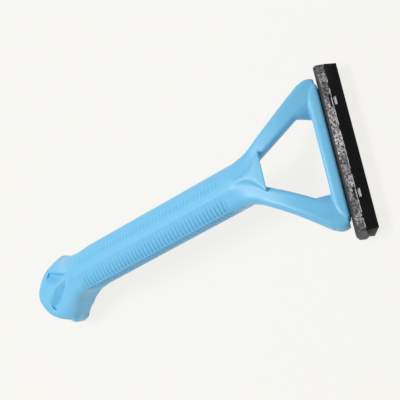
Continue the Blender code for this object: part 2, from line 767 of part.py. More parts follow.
def foot_trim(collection):
    """Everything below the table, cut off the foot to leave it a flat face."""
    long = GRIP_LENGTH / 2
    wide = FOOT_HALF_WIDTH + CUT_OVERRUN
    low = (-long, -wide, -FOOT_DEPTH)
    item = block("foot_trim", low, (long, wide, 0.0), collection)
    place = Matrix.Translation((END_X, 0.0, -FOOT_DEPTH))
    item.data.transform(place @ Matrix.Rotation(rest_tilt(), 4, "Y"))
    return item


def build_handle(parts, cutters, material):
    handle = loft("handle", handle_rings(), parts)
    unite(handle, gusset(cutters))
    cut(handle, opening_cutter(cutters))
    unite(handle, rail(cutters))
    unite(handle, rail_tongue(cutters))
    for side in (-1, 1):
        cut(handle, groove(side, cutters))
    cut(handle, pockets(cutters))
    cut(handle, foot_trim(cutters))
    handle.data.materials.clear()
    handle.data.materials.append(material)
    handle.data.shade_smooth()
    handle.data.set_sharp_from_angle(angle=math.radians(32))
    return handle


def stud_holes(radius, stack_from, stack_to, collection):
    items = [disc("hole", radius, stack_from, stack_to, y, collection) for y in STUD_PLACES]
    return joined("stud_holes", items, collection)


def windows(collection):
    """The two openings through the rear wall, on the joint of seat and cap."""
    items = []
    for side in (-1, 1):
        middle = side * WINDOW_OFFSET
        low = (-WINDOW_BELOW, middle - WINDOW_WIDTH / 2, -BLADE_REAR)
        high = (WINDOW_ABOVE, middle + WINDOW_WIDTH / 2, CUT_OVERRUN)
        items.append(block("window", low, high, collection))
    return joined("windows", items, collection)


def seat_back():
    """The seat's outline away from the blades, shared by its bar and its end walls."""
    return [
        (-SEAT_THICKNESS + SEAT_FRONT_RISE, SEAT_FRONT_DEPTH),
        (-SEAT_THICKNESS, SEAT_HEEL_DEPTH),
        (-SEAT_THICKNESS, SEAT_REAR_CHAMFER),
        (-SEAT_THICKNESS + SEAT_REAR_CHAMFER, -REAR_LEAN),
        (-SEAM_GAP / 2, 0.0),
    ]


def build_seat(parts, cutters, material):
    groove_front = SEAT_DEPTH + GUARD_GROOVE_WIDTH
    guard_top = (-GUARD_DROP, GUARD_REACH)
    outline = [
        *seat_back(),
        (-SEAM_GAP / 2, REAR_WALL),
        (SEAT_TOP, REAR_WALL),
        (SEAT_TOP, SEAT_DEPTH),
        (SEAT_TOP - GUARD_GROOVE_DEPTH, SEAT_DEPTH),
        (SEAT_TOP - GUARD_GROOVE_DEPTH, groove_front),
        (-GUARD_DROP, groove_front + GUARD_GROOVE_WIDTH / 2),
        guard_top,
    ]
    seat = bar("blade_seat", outline, HEAD_HALF_LENGTH - END_WALL / 2, parts)
    lip = (EAR_LIP_RISE - SEAM_GAP, EAR_LIP_DEPTH)
    for side in (-1, 1):
        wall = bar("seat_end", [*seat_back(), lip, guard_top], END_WALL / 2, cutters)
        wall.data.transform(Matrix.Translation((0.0, side * (HEAD_HALF_LENGTH - END_WALL / 2), 0.0)))
        unite(seat, wall)
    bottom = CAP_BOTTOM - STUD_DEPTH - STUD_CLEARANCE
    cut(seat, stud_holes(STUD_RADIUS + STUD_CLEARANCE, bottom, CUT_OVERRUN, cutters))
    cut(seat, windows(cutters))
    half_length = TONGUE_HALF_LENGTH + TONGUE_CLEARANCE
    half_height = TONGUE_HEIGHT / 2 + TONGUE_CLEARANCE
    groove_top = -SEAT_THICKNESS + TONGUE_DEPTH + TONGUE_CLEARANCE
    low = (-SEAT_THICKNESS - CUT_OVERRUN, -half_length, -REAR_TO_YOKE_MIDDLE - half_height)
    high = (groove_top, half_length, -REAR_TO_YOKE_MIDDLE + half_height)
    cut(seat, block("tongue_groove", low, high, cutters))

    notches = []
    reach = HEAD_HALF_LENGTH - 2 * END_WALL
    count = int(reach / GUARD_NOTCH_PITCH)
    for index in range(-count, count + 1):
        y = index * GUARD_NOTCH_PITCH
        low = (-GUARD_DROP - GUARD_NOTCH_DEPTH, y - GUARD_NOTCH_WIDTH / 2, -GUARD_REACH - CUT_OVERRUN)
        high = (CUT_OVERRUN, y + GUARD_NOTCH_WIDTH / 2, -groove_front - GUARD_GROOVE_WIDTH / 8)
        notches.append(block("notch", low, high, cutters))
    cut(seat, joined("guard_notches", notches, cutters))
    finish(seat, material)
    return seat


def blade(name, bottom, edge_depth, parts, cutters, material):
    """A thin steel strip with one ground edge and a row of stud holes."""
    top = bottom + BLADE_THICKNESS
    heel = edge_depth - BLADE_BEVEL
    outline = [
        (bottom, BLADE_REAR),
        (top, BLADE_REAR),
        (top, heel),
        (bottom + BLADE_THICKNESS / 2, edge_depth),
        (bottom, heel),
    ]
    strip = bar(name, outline, BLADE_HALF_LENGTH, parts)
    radius = STUD_RADIUS + STUD_CLEARANCE
    cut(strip, stud_holes(radius, bottom - CUT_OVERRUN, top + CUT_OVERRUN, cutters))
    finish(strip, material)
    return strip


def build_spacer(parts, cutters, material):
    """The strip between the blades: a sheet with ribs that keep the rinse channels open."""
    top = SPACER_SHEET_BOTTOM + SPACER_SHEET
    sheet_low = (SPACER_SHEET_BOTTOM, -BLADE_HALF_LENGTH, -SPACER_DEPTH)
    spacer = block("blade_spacer", sheet_low, (top, BLADE_HALF_LENGTH, -BLADE_REAR), parts)
    clear = STUD_RADIUS + STUD_CLEARANCE + SPACER_RIB_WIDTH
    count = int(BLADE_HALF_LENGTH / SPACER_RIB_PITCH)
    ribs = []
    for index in range(-count, count + 1):
        y = index * SPACER_RIB_PITCH
        if any(abs(y - place) < clear for place in STUD_PLACES):
            continue
        inset = SPACER_RIB_WIDTH
        low = (SPACER_BOTTOM, y - SPACER_RIB_WIDTH / 2, -SPACER_DEPTH + inset)
        high = (SPACER_SHEET_BOTTOM + SPACER_SHEET / 2, y + SPACER_RIB_WIDTH / 2, -BLADE_REAR - inset)
        ribs.append(block("rib", low, high, cutters))
    unite(spacer, joined("spacer_ribs", ribs, cutters))
    radius = STUD_RADIUS + STUD_CLEARANCE
    cut(spacer, stud_holes(radius, SPACER_BOTTOM - CUT_OVERRUN, top + CUT_OVERRUN, cutters))
    finish(spacer, material)
    return spacer


def build_cap(parts, cutters, material):
    rear = (CAP_THICKNESS, CAP_REAR_LEAN)
    outline = [
        (SEAM_GAP / 2, 0.0),
        (SEAM_GAP / 2, REAR_WALL),
        (CAP_BOTTOM, REAR_WALL),
        (CAP_BOTTOM, CAP_NOSE_DEPTH),
        (CAP_BOTTOM + CAP_NOSE_THICKNESS, CAP_NOSE_DEPTH),
        rear,
    ]
    cap = bar("head_cap", outline, HEAD_HALF_LENGTH - END_WALL / 2, parts)
    ear_outline = [
        (SEAM_GAP / 2, 0.0),
        (EAR_LIP_RISE, EAR_LIP_DEPTH),
        (CAP_EAR_THICKNESS, CAP_EAR_DEPTH),
        rear,
    ]
    for side in (-1, 1):
        ear = bar("cap_ear", ear_outline, END_WALL / 2, cutters)
        ear.data.transform(Matrix.Translation((0.0, side * (HEAD_HALF_LENGTH - END_WALL / 2), 0.0)))
        unite(cap, ear)
    cut(cap, windows(cutters))
    for place in STUD_PLACES:
        tip = CAP_BOTTOM - STUD_DEPTH
        unite(cap, disc("stud", STUD_RADIUS, tip, CAP_BOTTOM + STUD_ROOT, place, cutters))
    for vertex in cap.data.vertices:
        if vertex.co.x > CAP_THICKNESS - STACK_GAP:
            vertex.co.y *= 1.0 - CAP_END_DRAFT / HEAD_HALF_LENGTH
    finish(cap, material)
    return cap


def finish(item, material):
    item.data.materials.clear()
    item.data.materials.append(material)
    item.data.shade_smooth()
    item.data.set_sharp_from_angle(angle=math.radians(30))


def stand_on_table(handle, head_parts):
    """Parents the pieces to empties, levels the razor and puts the origin under its middle."""
    table = bpy.data.objects.new("table_frame", None)
    head = bpy.data.objects.new("head_frame", None)
    for empty in (table, head):
        bpy.context.scene.collection.objects.link(empty)
    head.parent = table
    head.matrix_local = head_matrix()
    handle.parent = table
    for item in head_parts:
        item.parent = head
    table.rotation_euler = (0.0, rest_tilt() * -1, 0.0)
    bpy.context.view_layer.update()
    points = [item.matrix_world @ v.co for item in (handle, *head_parts) for v in item.data.vertices]
    middle = (min(p.x for p in points) + max(p.x for p in points)) / 2
    table.location = (-middle, 0.0, -min(p.z for p in points))
    bpy.context.view_layer.update()


def main():
    clear_scene()
    parts = new_collection("disposable_razor")
    cutters = new_collection("cutters")
    blue = make_material("handle_plastic", LIGHT_BLUE, 0.42, 0.0)
    black = make_material("cap_plastic", BLACK, 0.35, 0.0)
    grey = make_material("seat_plastic", DARK_GREY, 0.6, 0.0)
    steel = make_material("blade_steel", STEEL, 0.22, 1.0)
    aluminium = make_material("spacer_aluminium", ALUMINIUM, 0.35, 1.0)

    handle = build_handle(parts, cutters, blue)
    head_parts = [
        build_seat(parts, cutters, grey),
        blade("lower_blade", LOWER_BLADE_BOTTOM, LOWER_EDGE_DEPTH, parts, cutters, steel),
        build_spacer(parts, cutters, aluminium),
        blade("upper_blade", UPPER_BLADE_BOTTOM, UPPER_EDGE_DEPTH, parts, cutters, steel),
        build_cap(parts, cutters, black),
    ]
    stand_on_table(handle, head_parts)


main()
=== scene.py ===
"""Looks of a disposable razor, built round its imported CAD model.

The handle is rebuilt as a fine moulding with soft edges and ribs, the plastic pieces of the head
get moulded edges, and the blades and the spacer keep their CAD shapes. Lengths are metres in the
CAD frame: +X from the tail to the head, +Y along the blades, +Z up from the table.
"""

from __future__ import annotations

import logging
import math
from dataclasses import dataclass
from enum import Enum
from typing import Sequence

import bmesh
import bpy
import numpy as np
from mathutils import Matrix, Vector


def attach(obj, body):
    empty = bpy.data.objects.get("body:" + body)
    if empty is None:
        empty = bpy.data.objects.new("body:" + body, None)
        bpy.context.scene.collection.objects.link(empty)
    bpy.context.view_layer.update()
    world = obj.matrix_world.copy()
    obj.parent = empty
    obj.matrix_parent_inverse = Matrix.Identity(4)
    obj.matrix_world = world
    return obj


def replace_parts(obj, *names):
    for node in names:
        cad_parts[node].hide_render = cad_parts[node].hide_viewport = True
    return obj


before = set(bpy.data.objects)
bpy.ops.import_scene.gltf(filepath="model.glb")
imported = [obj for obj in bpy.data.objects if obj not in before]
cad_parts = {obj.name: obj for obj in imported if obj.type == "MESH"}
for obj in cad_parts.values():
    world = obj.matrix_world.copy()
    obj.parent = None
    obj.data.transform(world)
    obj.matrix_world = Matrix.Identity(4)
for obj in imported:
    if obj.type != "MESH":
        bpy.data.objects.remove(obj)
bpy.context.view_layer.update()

log = logging.getLogger("razor")

# Half a section's points, from the top to the bottom
Half = list[Vector]

# A section's corner: its distance to the side, its height, its radius and its steps
Corner = tuple[float, float, float, int]

Colour = tuple[float, float, float]

# The most that a rounded corner may take of the straight parts beside it
CORNER_LIMIT_SHARE = 0.48

# Half the angle from which a corner counts as a straight line
STRAIGHT = math.radians(89.9)

# Where the handle's frame lies on the table, as the CAD model has it
LEAN = 0.0372246
ORIGIN = (0.0245835, 0.0, 0.0136693)

# The head's own directions: up the stack of blades, and back out of the rear wall. The tilt is
# the yoke's bend less the lean.
HEAD_TILT = math.radians(35.017)
HEAD_UP = Vector((math.cos(HEAD_TILT), 0.0, -math.sin(HEAD_TILT)))
HEAD_BACK = Vector((math.sin(HEAD_TILT), 0.0, math.cos(HEAD_TILT)))

# How far each window lies from the head's middle
WINDOW_PLACE = 0.01163


class Slot(Enum):
    """The record's material slots."""

    HANDLE = "handle_plastic"
    SEAT = "seat_plastic"
    CAP = "cap_plastic"
    BLADE = "blade_steel"
    SPACER = "spacer_aluminium"


class Work(Enum):
    """What one body does to another."""

    JOIN = "UNION"
    CUT = "DIFFERENCE"


# Small tools


def ease(value: float) -> float:
    """Smooth step from 0 to 1.

    Args:
        value: Where to read the step; it is held between 0 and 1.

    Returns:
        The step's height.
    """
    value = min(max(value, 0.0), 1.0)
    return value * value * (3.0 - 2.0 * value)


def blend(first: float, second: float, amount: float) -> float:
    """Returns the value a share of the way from first to second."""
    return first + (second - first) * amount


def steps_between(low: float, high: float, values: np.ndarray) -> np.ndarray:
    """Smooth step over an array.

    Args:
        low: Value where the step starts; it may be the larger one, for a falling step.
        high: Value where the step is full.
        values: Where to read it.

    Returns:
        One height for each value.
    """
    share = np.clip((values - low) / (high - low), 0.0, 1.0)
    return share * share * (3.0 - 2.0 * share)


def table_value(places: Sequence[float], table: Sequence[float], place: float) -> float:
    """Reads a table by a smooth curve through its values.

    Args:
        places: Rising places of the table's values.
        table: The values.
        place: Where to read.

    Returns:
        The curve's value there.
    """
    index = 0
    while index < len(places) - 2 and place > places[index + 1]:
        index += 1
    before, after = max(index - 1, 0), min(index + 2, len(places) - 1)
    width = places[index + 1] - places[index]
    share = min(max((place - places[index]) / width, 0.0), 1.0)
    rise = (table[index + 1] - table[before]) / (places[index + 1] - places[before]) * width
    fall = (table[after] - table[index]) / (places[after] - places[index]) * width
    square, cube = share * share, share**3
    return (
        (2 * cube - 3 * square + 1) * table[index]
        + (cube - 2 * square + share) * rise
        + (3 * square - 2 * cube) * table[index + 1]
        + (cube - square) * fall
    )


def object_of(name: str, shape: bmesh.types.BMesh) -> bpy.types.Object:
    """Turns a bmesh into an object of the scene, with its faces looking outwards.

    Args:
        name: The object's name.
        shape: The mesh to take over; it is freed.

    Returns:
        The new object.
    """
    bmesh.ops.recalc_face_normals(shape, faces=shape.faces[:])
    mesh = bpy.data.meshes.new(name)
    shape.to_mesh(mesh)
    shape.free()
    item = bpy.data.objects.new(name, mesh)
    bpy.context.scene.collection.objects.link(item)
    return item


def loft(name: str, rings: Sequence[Sequence[Vector]]) -> bpy.types.Object:
    """A closed body through rings of as many points each.

    Args:
        name: The object's name.
        rings: The rings, in order along the body.

    Returns:
        The body, with a face at each end.
    """
    shape = bmesh.new()
    rows = [[shape.verts.new(point) for point in ring] for ring in rings]
    for near, far in zip(rows, rows[1:]):
        for index, vertex in enumerate(near):
            after = (index + 1) % len(near)
            shape.faces.new((vertex, near[after], far[after], far[index]))
    shape.faces.new(rows[0])
    shape.faces.new(rows[-1])
    return object_of(name, shape)


def settle(item: bpy.types.Object) -> bpy.types.Object:
    """Applies an object's modifiers to its mesh and returns the object."""
    bpy.context.view_layer.update()
    evaluated = item.evaluated_get(bpy.context.evaluated_depsgraph_get())
    mesh = bpy.data.meshes.new_from_object(evaluated)
    item.modifiers.clear()
    old = item.data
    item.data = mesh
    bpy.data.meshes.remove(old)
    return item


def keep_largest(mesh: bpy.types.Mesh) -> None:
    """Drops every loose shell of a mesh but the one with the most points.

    Args:
        mesh: The mesh.
    """
    shape = bmesh.new()
    shape.from_mesh(mesh)
    left = set(shape.verts)
    shells = []
    while left:
        shell = [left.pop()]
        for vertex in shell:
            for edge in vertex.link_edges:
                other = edge.other_vert(vertex)
                if other in left:
                    left.discard(other)
                    shell.append(other)
        shells.append(shell)
    shells.sort(key=len)
    loose = [vertex for shell in shells[:-1] for vertex in shell]
    bmesh.ops.delete(shape, geom=loose, context="VERTS")
    shape.to_mesh(mesh)
    shape.free()


def combine(body: bpy.types.Object, tool: bpy.types.Object, work: Work) -> None:
    """Joins or cuts one body with another, which is then removed.

    Args:
        body: The body that changes.
        tool: The body to join or cut with.
        work: Whether to join or to cut.
    """
    modifier = body.modifiers.new("join", "BOOLEAN")
    modifier.operation = work.value
    modifier.object = tool
    modifier.solver = "EXACT"
    settle(body)
    bpy.data.objects.remove(tool, do_unlink=True)


def corner_arc(before: Corner, corner: Corner, after: Corner) -> Half:
    """Rounds one corner of a section.

    Args:
        before: The corner before it.
        corner: The corner, as (across, height, radius, steps). Without steps it stays sharp.
        after: The corner after it.

    Returns:
        The points of its arc.
    """
    place, radius, steps = Vector(corner[:2]), corner[2], corner[3]
    if not steps:
        return [place]
    back = Vector(before[:2]) - place
    ahead = Vector(after[:2]) - place
    half = back.angle(ahead) / 2
    limit = CORNER_LIMIT_SHARE * min(back.length, ahead.length)
    if half > STRAIGHT:
        start = place + back.normalized() * min(radius, limit)
        end = place + ahead.normalized() * min(radius, limit)
        return [start.lerp(end, step / steps) for step in range(steps + 1)]
    tangent = min(radius / math.tan(half), limit)
    inward = (back.normalized() + ahead.normalized()).normalized()
    centre = place + inward * (tangent / math.cos(half))
    first = place + back.normalized() * tangent - centre
    last = place + ahead.normalized() * tangent - centre
    sweep = first.angle(last)
    points = []
    for step in range(steps + 1):
        share = step / steps
        direction = first * math.sin((1 - share) * sweep) + last * math.sin(share * sweep)
        points.append(centre + direction / math.sin(sweep))
    return points


def rounded_half(corners: Sequence[Corner], fill: float) -> Half:
    """Half a section with round corners.

    Args:
        corners: (across, height, radius, steps) from the top to the bottom; the first and the
            last lie on the middle plane and stay sharp.
        fill: Distance between the points of the straight parts, as a share of each part.

    Returns:
        The points, with the same count for the same steps.
    """
    arcs = [[Vector(corners[0][:2])]]
    for before, corner, after in zip(corners, corners[1:], corners[2:]):
        arcs.append(corner_arc(before, corner, after))
    arcs.append([Vector(corners[-1][:2])])
    inner = [fill * step for step in range(1, round(1 / fill))]
    points: Half = []
    for arc, following in zip(arcs, arcs[1:]):
        points += arc
        points += [arc[-1].lerp(following[0], share) for share in inner]
    return points + arcs[-1]


def ring_of(half: Half) -> Half:
    """Returns both sides of a half section as one ring."""
    return list(half) + [Vector((-point.x, point.y)) for point in half[-2:0:-1]]


def neighbours_mean(points: np.ndarray, edges: np.ndarray) -> np.ndarray:
    """Mean of each point's neighbours.

    Args:
        points: Coordinates, one row a point.
        edges: Pairs of point numbers.

    Returns:
        One row a point.
    """
    count = len(points)
    ends = np.concatenate((edges[:, 0], edges[:, 1]))
    others = np.concatenate((edges[:, 1], edges[:, 0]))
    total = np.bincount(ends, minlength=count)
    sums = [np.bincount(ends, points[others, axis], count) for axis in range(3)]
    return np.stack(sums, 1) / total[:, None]


def read_points(mesh: bpy.types.Mesh) -> np.ndarray:
    """Returns a mesh's points, one row each."""
    points = np.empty(len(mesh.vertices) * 3)
    mesh.vertices.foreach_get("co", points)
    return points.reshape(-1, 3)


def write_points(mesh: bpy.types.Mesh, points: np.ndarray) -> None:
    """Moves a mesh's points to new places, one row each."""
    mesh.vertices.foreach_set("co", points.ravel())
    mesh.update()


# Node groups and finishes


class Wiring:
    """Adds nodes and links to one node tree."""

    def __init__(self, tree: bpy.types.NodeTree) -> None:
        """Takes over a tree and clears it.

        Args:
            tree: The tree of a material or a group.
        """
        self.tree = tree
        tree.nodes.clear()

    def node(self, kind: str, **settings: object) -> bpy.types.Node:
        """Adds a node.

        Args:
            kind: The node's type name.
            **settings: Attributes of the node, or values of its inputs by name with spaces as _.

        Returns:
            The node.
        """
        made = self.tree.nodes.new(kind)
        for key, value in settings.items():
            if hasattr(made, key):
                setattr(made, key, value)
            else:
                made.inputs[key.replace("_", " ")].default_value = value
        return made

    def link(self, source: bpy.types.NodeSocket, target: bpy.types.NodeSocket) -> None:
        """Links an output to an input."""
        self.tree.links.new(source, target)

    def maths(self, operation: str, first: object, second: object = 0.5) -> bpy.types.NodeSocket:
        """Adds a Math node.

        Args:
            operation: Its operation.
            first: A socket or a number.
            second: A socket or a number.

        Returns:
            The node's output.
        """
        made = self.tree.nodes.new("ShaderNodeMath")
        made.operation = operation
        for socket, value in zip(made.inputs, (first, second)):
            if isinstance(value, bpy.types.NodeSocket):
                self.link(value, socket)
            else:
                socket.default_value = value
        return made.outputs[0]

    def spread(self, value: bpy.types.NodeSocket, low: float, high: float) -> bpy.types.NodeSocket:
        """Maps a value from low..high to 0..1.

        Args:
            value: The value.
            low: What becomes 0.
            high: What becomes 1.

        Returns:
            The mapped value, held between 0 and 1.
        """
        made = self.tree.nodes.new("ShaderNodeMapRange")
        made.inputs["From Min"].default_value = low
        made.inputs["From Max"].default_value = high
        self.link(value, made.inputs["Value"])
        return made.outputs[0]

    def along(
        self, value: bpy.types.NodeSocket, direction: Sequence[float]
    ) -> bpy.types.NodeSocket:
        """Measures a place or a direction along another direction.

        Args:
            value: The place or direction.
            direction: What to measure it along.

        Returns:
            How far the value goes along it.
        """
        made = self.node("ShaderNodeVectorMath", operation="DOT_PRODUCT")
        self.link(value, made.inputs[0])
        made.inputs[1].default_value = direction
        return made.outputs["Value"]

    def mixed(
        self, amount: bpy.types.NodeSocket, first: object, second: object
    ) -> bpy.types.NodeSocket:
        """Mixes two colours.

        Args:
            amount: How much of the second shows.
            first: A socket, or a colour of three numbers.
            second: A socket, or a colour of three numbers.

        Returns:
            The mixed colour.
        """
        made = self.tree.nodes.new("ShaderNodeMix")
        made.data_type = "RGBA"
        self.link(amount, made.inputs[0])
        for socket, value in ((made.inputs[6], first), (made.inputs[7], second)):
            if isinstance(value, bpy.types.NodeSocket):
                self.link(value, socket)
            else:
                socket.default_value = (*value, 1.0)
        return made.outputs[2]


def new_group(
    name: str, inputs: dict[str, float], outputs: Sequence[str]
) -> tuple[Wiring, bpy.types.Node, bpy.types.Node]:
    """Starts a shader node group.

    Args:
        name: The group's name.
        inputs: Its float inputs with their usual values.
        outputs: The names of its float outputs.

    Returns:
        Its wiring, its input node and its output node.
    """
    tree = bpy.data.node_groups.new(name, "ShaderNodeTree")
    wiring = Wiring(tree)
    for key, value in inputs.items():
        socket = tree.interface.new_socket(key, in_out="INPUT", socket_type="NodeSocketFloat")
        socket.default_value = value
    for key in outputs:
        tree.interface.new_socket(key, in_out="OUTPUT", socket_type="NodeSocketFloat")
    return wiring, wiring.node("NodeGroupInput"), wiring.node("NodeGroupOutput")


def moulded_grain_group() -> bpy.types.NodeTree:
    """The skin of moulded plastic: a fine grain, soft sink marks and flow streaks.

    Returns:
        A group with the outputs Grain, Sink and Streaks.
    """
    wiring, given, result = new_group(
        "moulded_grain", {"Grain Scale": 9000.0, "Sink Scale": 90.0}, ("Grain", "Sink", "Streaks")
    )
    place = wiring.node("ShaderNodeTexCoord").outputs["Object"]
    grain = wiring.node("ShaderNodeTexNoise", Detail=2.0, Roughness=0.6)
    sink = wiring.node("ShaderNodeTexNoise", Detail=2.0, Roughness=0.5)
    for noise, scale in ((grain, "Grain Scale"), (sink, "Sink Scale")):
        wiring.link(place, noise.inputs["Vector"])
        wiring.link(given.outputs[scale], noise.inputs["Scale"])
    soft, flow = (0.35, 0.65), (0.12, 1.0, 1.0)
    stretch = wiring.node("ShaderNodeMapping")
    stretch.inputs["Scale"].default_value = flow
    wiring.link(place, stretch.inputs["Vector"])
    streaks = wiring.node("ShaderNodeTexNoise", Scale=420.0, Detail=3.0, Roughness=0.55)
    wiring.link(stretch.outputs[0], streaks.inputs["Vector"])
    wiring.link(grain.outputs["Fac"], result.inputs["Grain"])
    wiring.link(wiring.spread(sink.outputs["Fac"], *soft), result.inputs["Sink"])
    wiring.link(wiring.spread(streaks.outputs["Fac"], *soft), result.inputs["Streaks"])
    return wiring.tree


def edge_wear_group() -> bpy.types.NodeTree:
    """Rubbed edges: bright where an edge stands out, broken up by noise.

    Returns:
        A group with the output Wear.
    """
    wiring, given, result = new_group("edge_wear", {"Reach": 0.06, "Amount": 1.0}, ("Wear",))
    geometry = wiring.node("ShaderNodeNewGeometry")
    place = wiring.node("ShaderNodeTexCoord").outputs["Object"]
    noise = wiring.node("ShaderNodeTexNoise", Scale=1400.0, Detail=3.0)
    wiring.link(place, noise.inputs["Vector"])
    raised = wiring.maths("SUBTRACT", geometry.outputs["Pointiness"], 0.5)
    share = wiring.maths("DIVIDE", raised, given.outputs["Reach"])
    broken = wiring.maths("MULTIPLY", share, wiring.spread(noise.outputs["Fac"], 0.3, 0.6))
    held = wiring.maths("MINIMUM", wiring.maths("MAXIMUM", broken, 0.0), 1.0)
    wiring.link(wiring.maths("MULTIPLY", held, given.outputs["Amount"]), result.inputs["Wear"])
    return wiring.tree


def spark_texture_group() -> bpy.types.NodeTree:
    """The sparkling stipple of a spark-eroded mould face.

    Returns:
        A group with the outputs Sparkle, Blotch and Height; Sparkle places the painted glints.
    """
    wiring, given, result = new_group(
        "spark_texture", {"Stipple Scale": 2300.0}, ("Sparkle", "Blotch", "Height")
    )
    place = wiring.node("ShaderNodeTexCoord").outputs["Object"]
    stipple = wiring.node("ShaderNodeTexNoise", Detail=3.0, Roughness=0.75)
    wiring.link(place, stipple.inputs["Vector"])
    wiring.link(given.outputs["Stipple Scale"], stipple.inputs["Scale"])
    blotch = wiring.node("ShaderNodeTexNoise", Scale=170.0, Detail=2.0, Roughness=0.5)
    wiring.link(place, blotch.inputs["Vector"])
    glints, patches = (0.43, 0.62), (0.38, 0.62)
    wiring.link(wiring.spread(stipple.outputs["Fac"], *glints), result.inputs["Sparkle"])
    wiring.link(wiring.spread(blotch.outputs["Fac"], *patches), result.inputs["Blotch"])
    wiring.link(stipple.outputs["Fac"], result.inputs["Height"])
    return wiring.tree


def rolling_lines_group() -> bpy.types.NodeTree:
    """Fine lines along a rolled or ground strip.

    Returns:
        A group with the output Lines.
    """
    wiring, given, result = new_group("rolling_lines", {"Line Scale": 5200.0}, ("Lines",))
    place = wiring.node("ShaderNodeTexCoord").outputs["Object"]
    strong, along_strip = (0.3, 0.7), (1.0, 0.03, 1.0)
    stretch = wiring.node("ShaderNodeMapping")
    stretch.inputs["Scale"].default_value = along_strip
    wiring.link(place, stretch.inputs["Vector"])
    noise = wiring.node("ShaderNodeTexNoise", Detail=3.0, Roughness=0.6)
    wiring.link(stretch.outputs[0], noise.inputs["Vector"])
    wiring.link(given.outputs["Line Scale"], noise.inputs["Scale"])
    wiring.link(wiring.spread(noise.outputs["Fac"], *strong), result.inputs["Lines"])
    return wiring.tree


class Finish:
    """A material in the making: its shader, its wiring and its groups."""

    def __init__(self, slot: Slot) -> None:
        """Starts the material of one slot.

        Args:
            slot: The record's slot, which names the material.
        """
        self.material = bpy.data.materials.new(slot.value)
        self.material.use_nodes = True
        self.wiring = Wiring(self.material.node_tree)
        self.shader = self.wiring.node("ShaderNodeBsdfPrincipled")
        output = self.wiring.node("ShaderNodeOutputMaterial")
        self.wiring.link(self.shader.outputs[0], output.inputs[0])

    def group(self, tree: bpy.types.NodeTree, **values: float) -> bpy.types.Node:
        """Places a node group.

        Args:
            tree: The group.
            **values: Its inputs by name, with spaces as _.

        Returns:
            The group's node.
        """
        made = self.wiring.node("ShaderNodeGroup")
        made.node_tree = tree
        for key, value in values.items():
            made.inputs[key.replace("_", " ")].default_value = value
        return made

    def colour(self, source: bpy.types.NodeSocket) -> None:
        """Links the base colour."""
        self.wiring.link(source, self.shader.inputs["Base Color"])

    def roughness(self, amount: bpy.types.NodeSocket, low: float, high: float) -> None:
        """Spreads the roughness between two values.

        Args:
            amount: 0 for the low value, 1 for the high one.
            low: The smoothest.
            high: The roughest.
        """
        scaled = self.wiring.maths("MULTIPLY", amount, high - low)
        self.wiring.link(self.wiring.maths("ADD", scaled, low), self.shader.inputs["Roughness"])

    def bump(self, height: bpy.types.NodeSocket, depth: float, strength: float) -> None:
        """Adds a bump.

        Args:
            height: The height, from 0 to 1.
            depth: What a height of 1 stands for, in metres.
            strength: How strongly it shows.
        """
        made = self.wiring.node("ShaderNodeBump", Strength=strength, Distance=depth)
        self.wiring.link(height, made.inputs["Height"])
        self.wiring.link(made.outputs[0], self.shader.inputs["Normal"])


@dataclass(frozen=True)
class HandlePlastic:
    """Light blue plastic with a satin skin."""

    colour: Colour = (0.176, 0.512, 0.785)
    deep_colour: Colour = (0.152, 0.490, 0.768)
    worn_colour: Colour = (0.215, 0.565, 0.835)
    smooth: float = 0.34
    rough: float = 0.46
    grain_scale: float = 9000.0
    grain_depth: float = 0.00002
    grain_strength: float = 0.25
    sink_scale: float = 110.0
    wear_reach: float = 0.05
    wear_amount: float = 0.35
    specular: float = 0.50
    scatter: float = 0.05
    scatter_colour: Colour = (0.25, 0.6, 1.0)
    scatter_depth: float = 0.0004

    def make(self, grain: bpy.types.NodeTree, wear: bpy.types.NodeTree) -> bpy.types.Material:
        """Builds the material.

        Args:
            grain: The moulded grain.
            wear: The edge wear.

        Returns:
            The material.
        """
        finish = Finish(Slot.HANDLE)
        skin = finish.group(grain, Grain_Scale=self.grain_scale, Sink_Scale=self.sink_scale)
        rubbed = finish.group(wear, Reach=self.wear_reach, Amount=self.wear_amount)
        flow = finish.wiring.maths("MULTIPLY", skin.outputs["Streaks"], skin.outputs["Sink"])
        tone = finish.wiring.mixed(flow, self.colour, self.deep_colour)
        finish.colour(finish.wiring.mixed(rubbed.outputs["Wear"], tone, self.worn_colour))
        finish.roughness(skin.outputs["Sink"], self.smooth, self.rough)
        finish.bump(skin.outputs["Grain"], self.grain_depth, self.grain_strength)
        finish.shader.inputs["Specular IOR Level"].default_value = self.specular
        finish.shader.inputs["Subsurface Weight"].default_value = self.scatter
        finish.shader.inputs["Subsurface Radius"].default_value = self.scatter_colour
        finish.shader.inputs["Subsurface Scale"].default_value = self.scatter_depth
        return finish.material


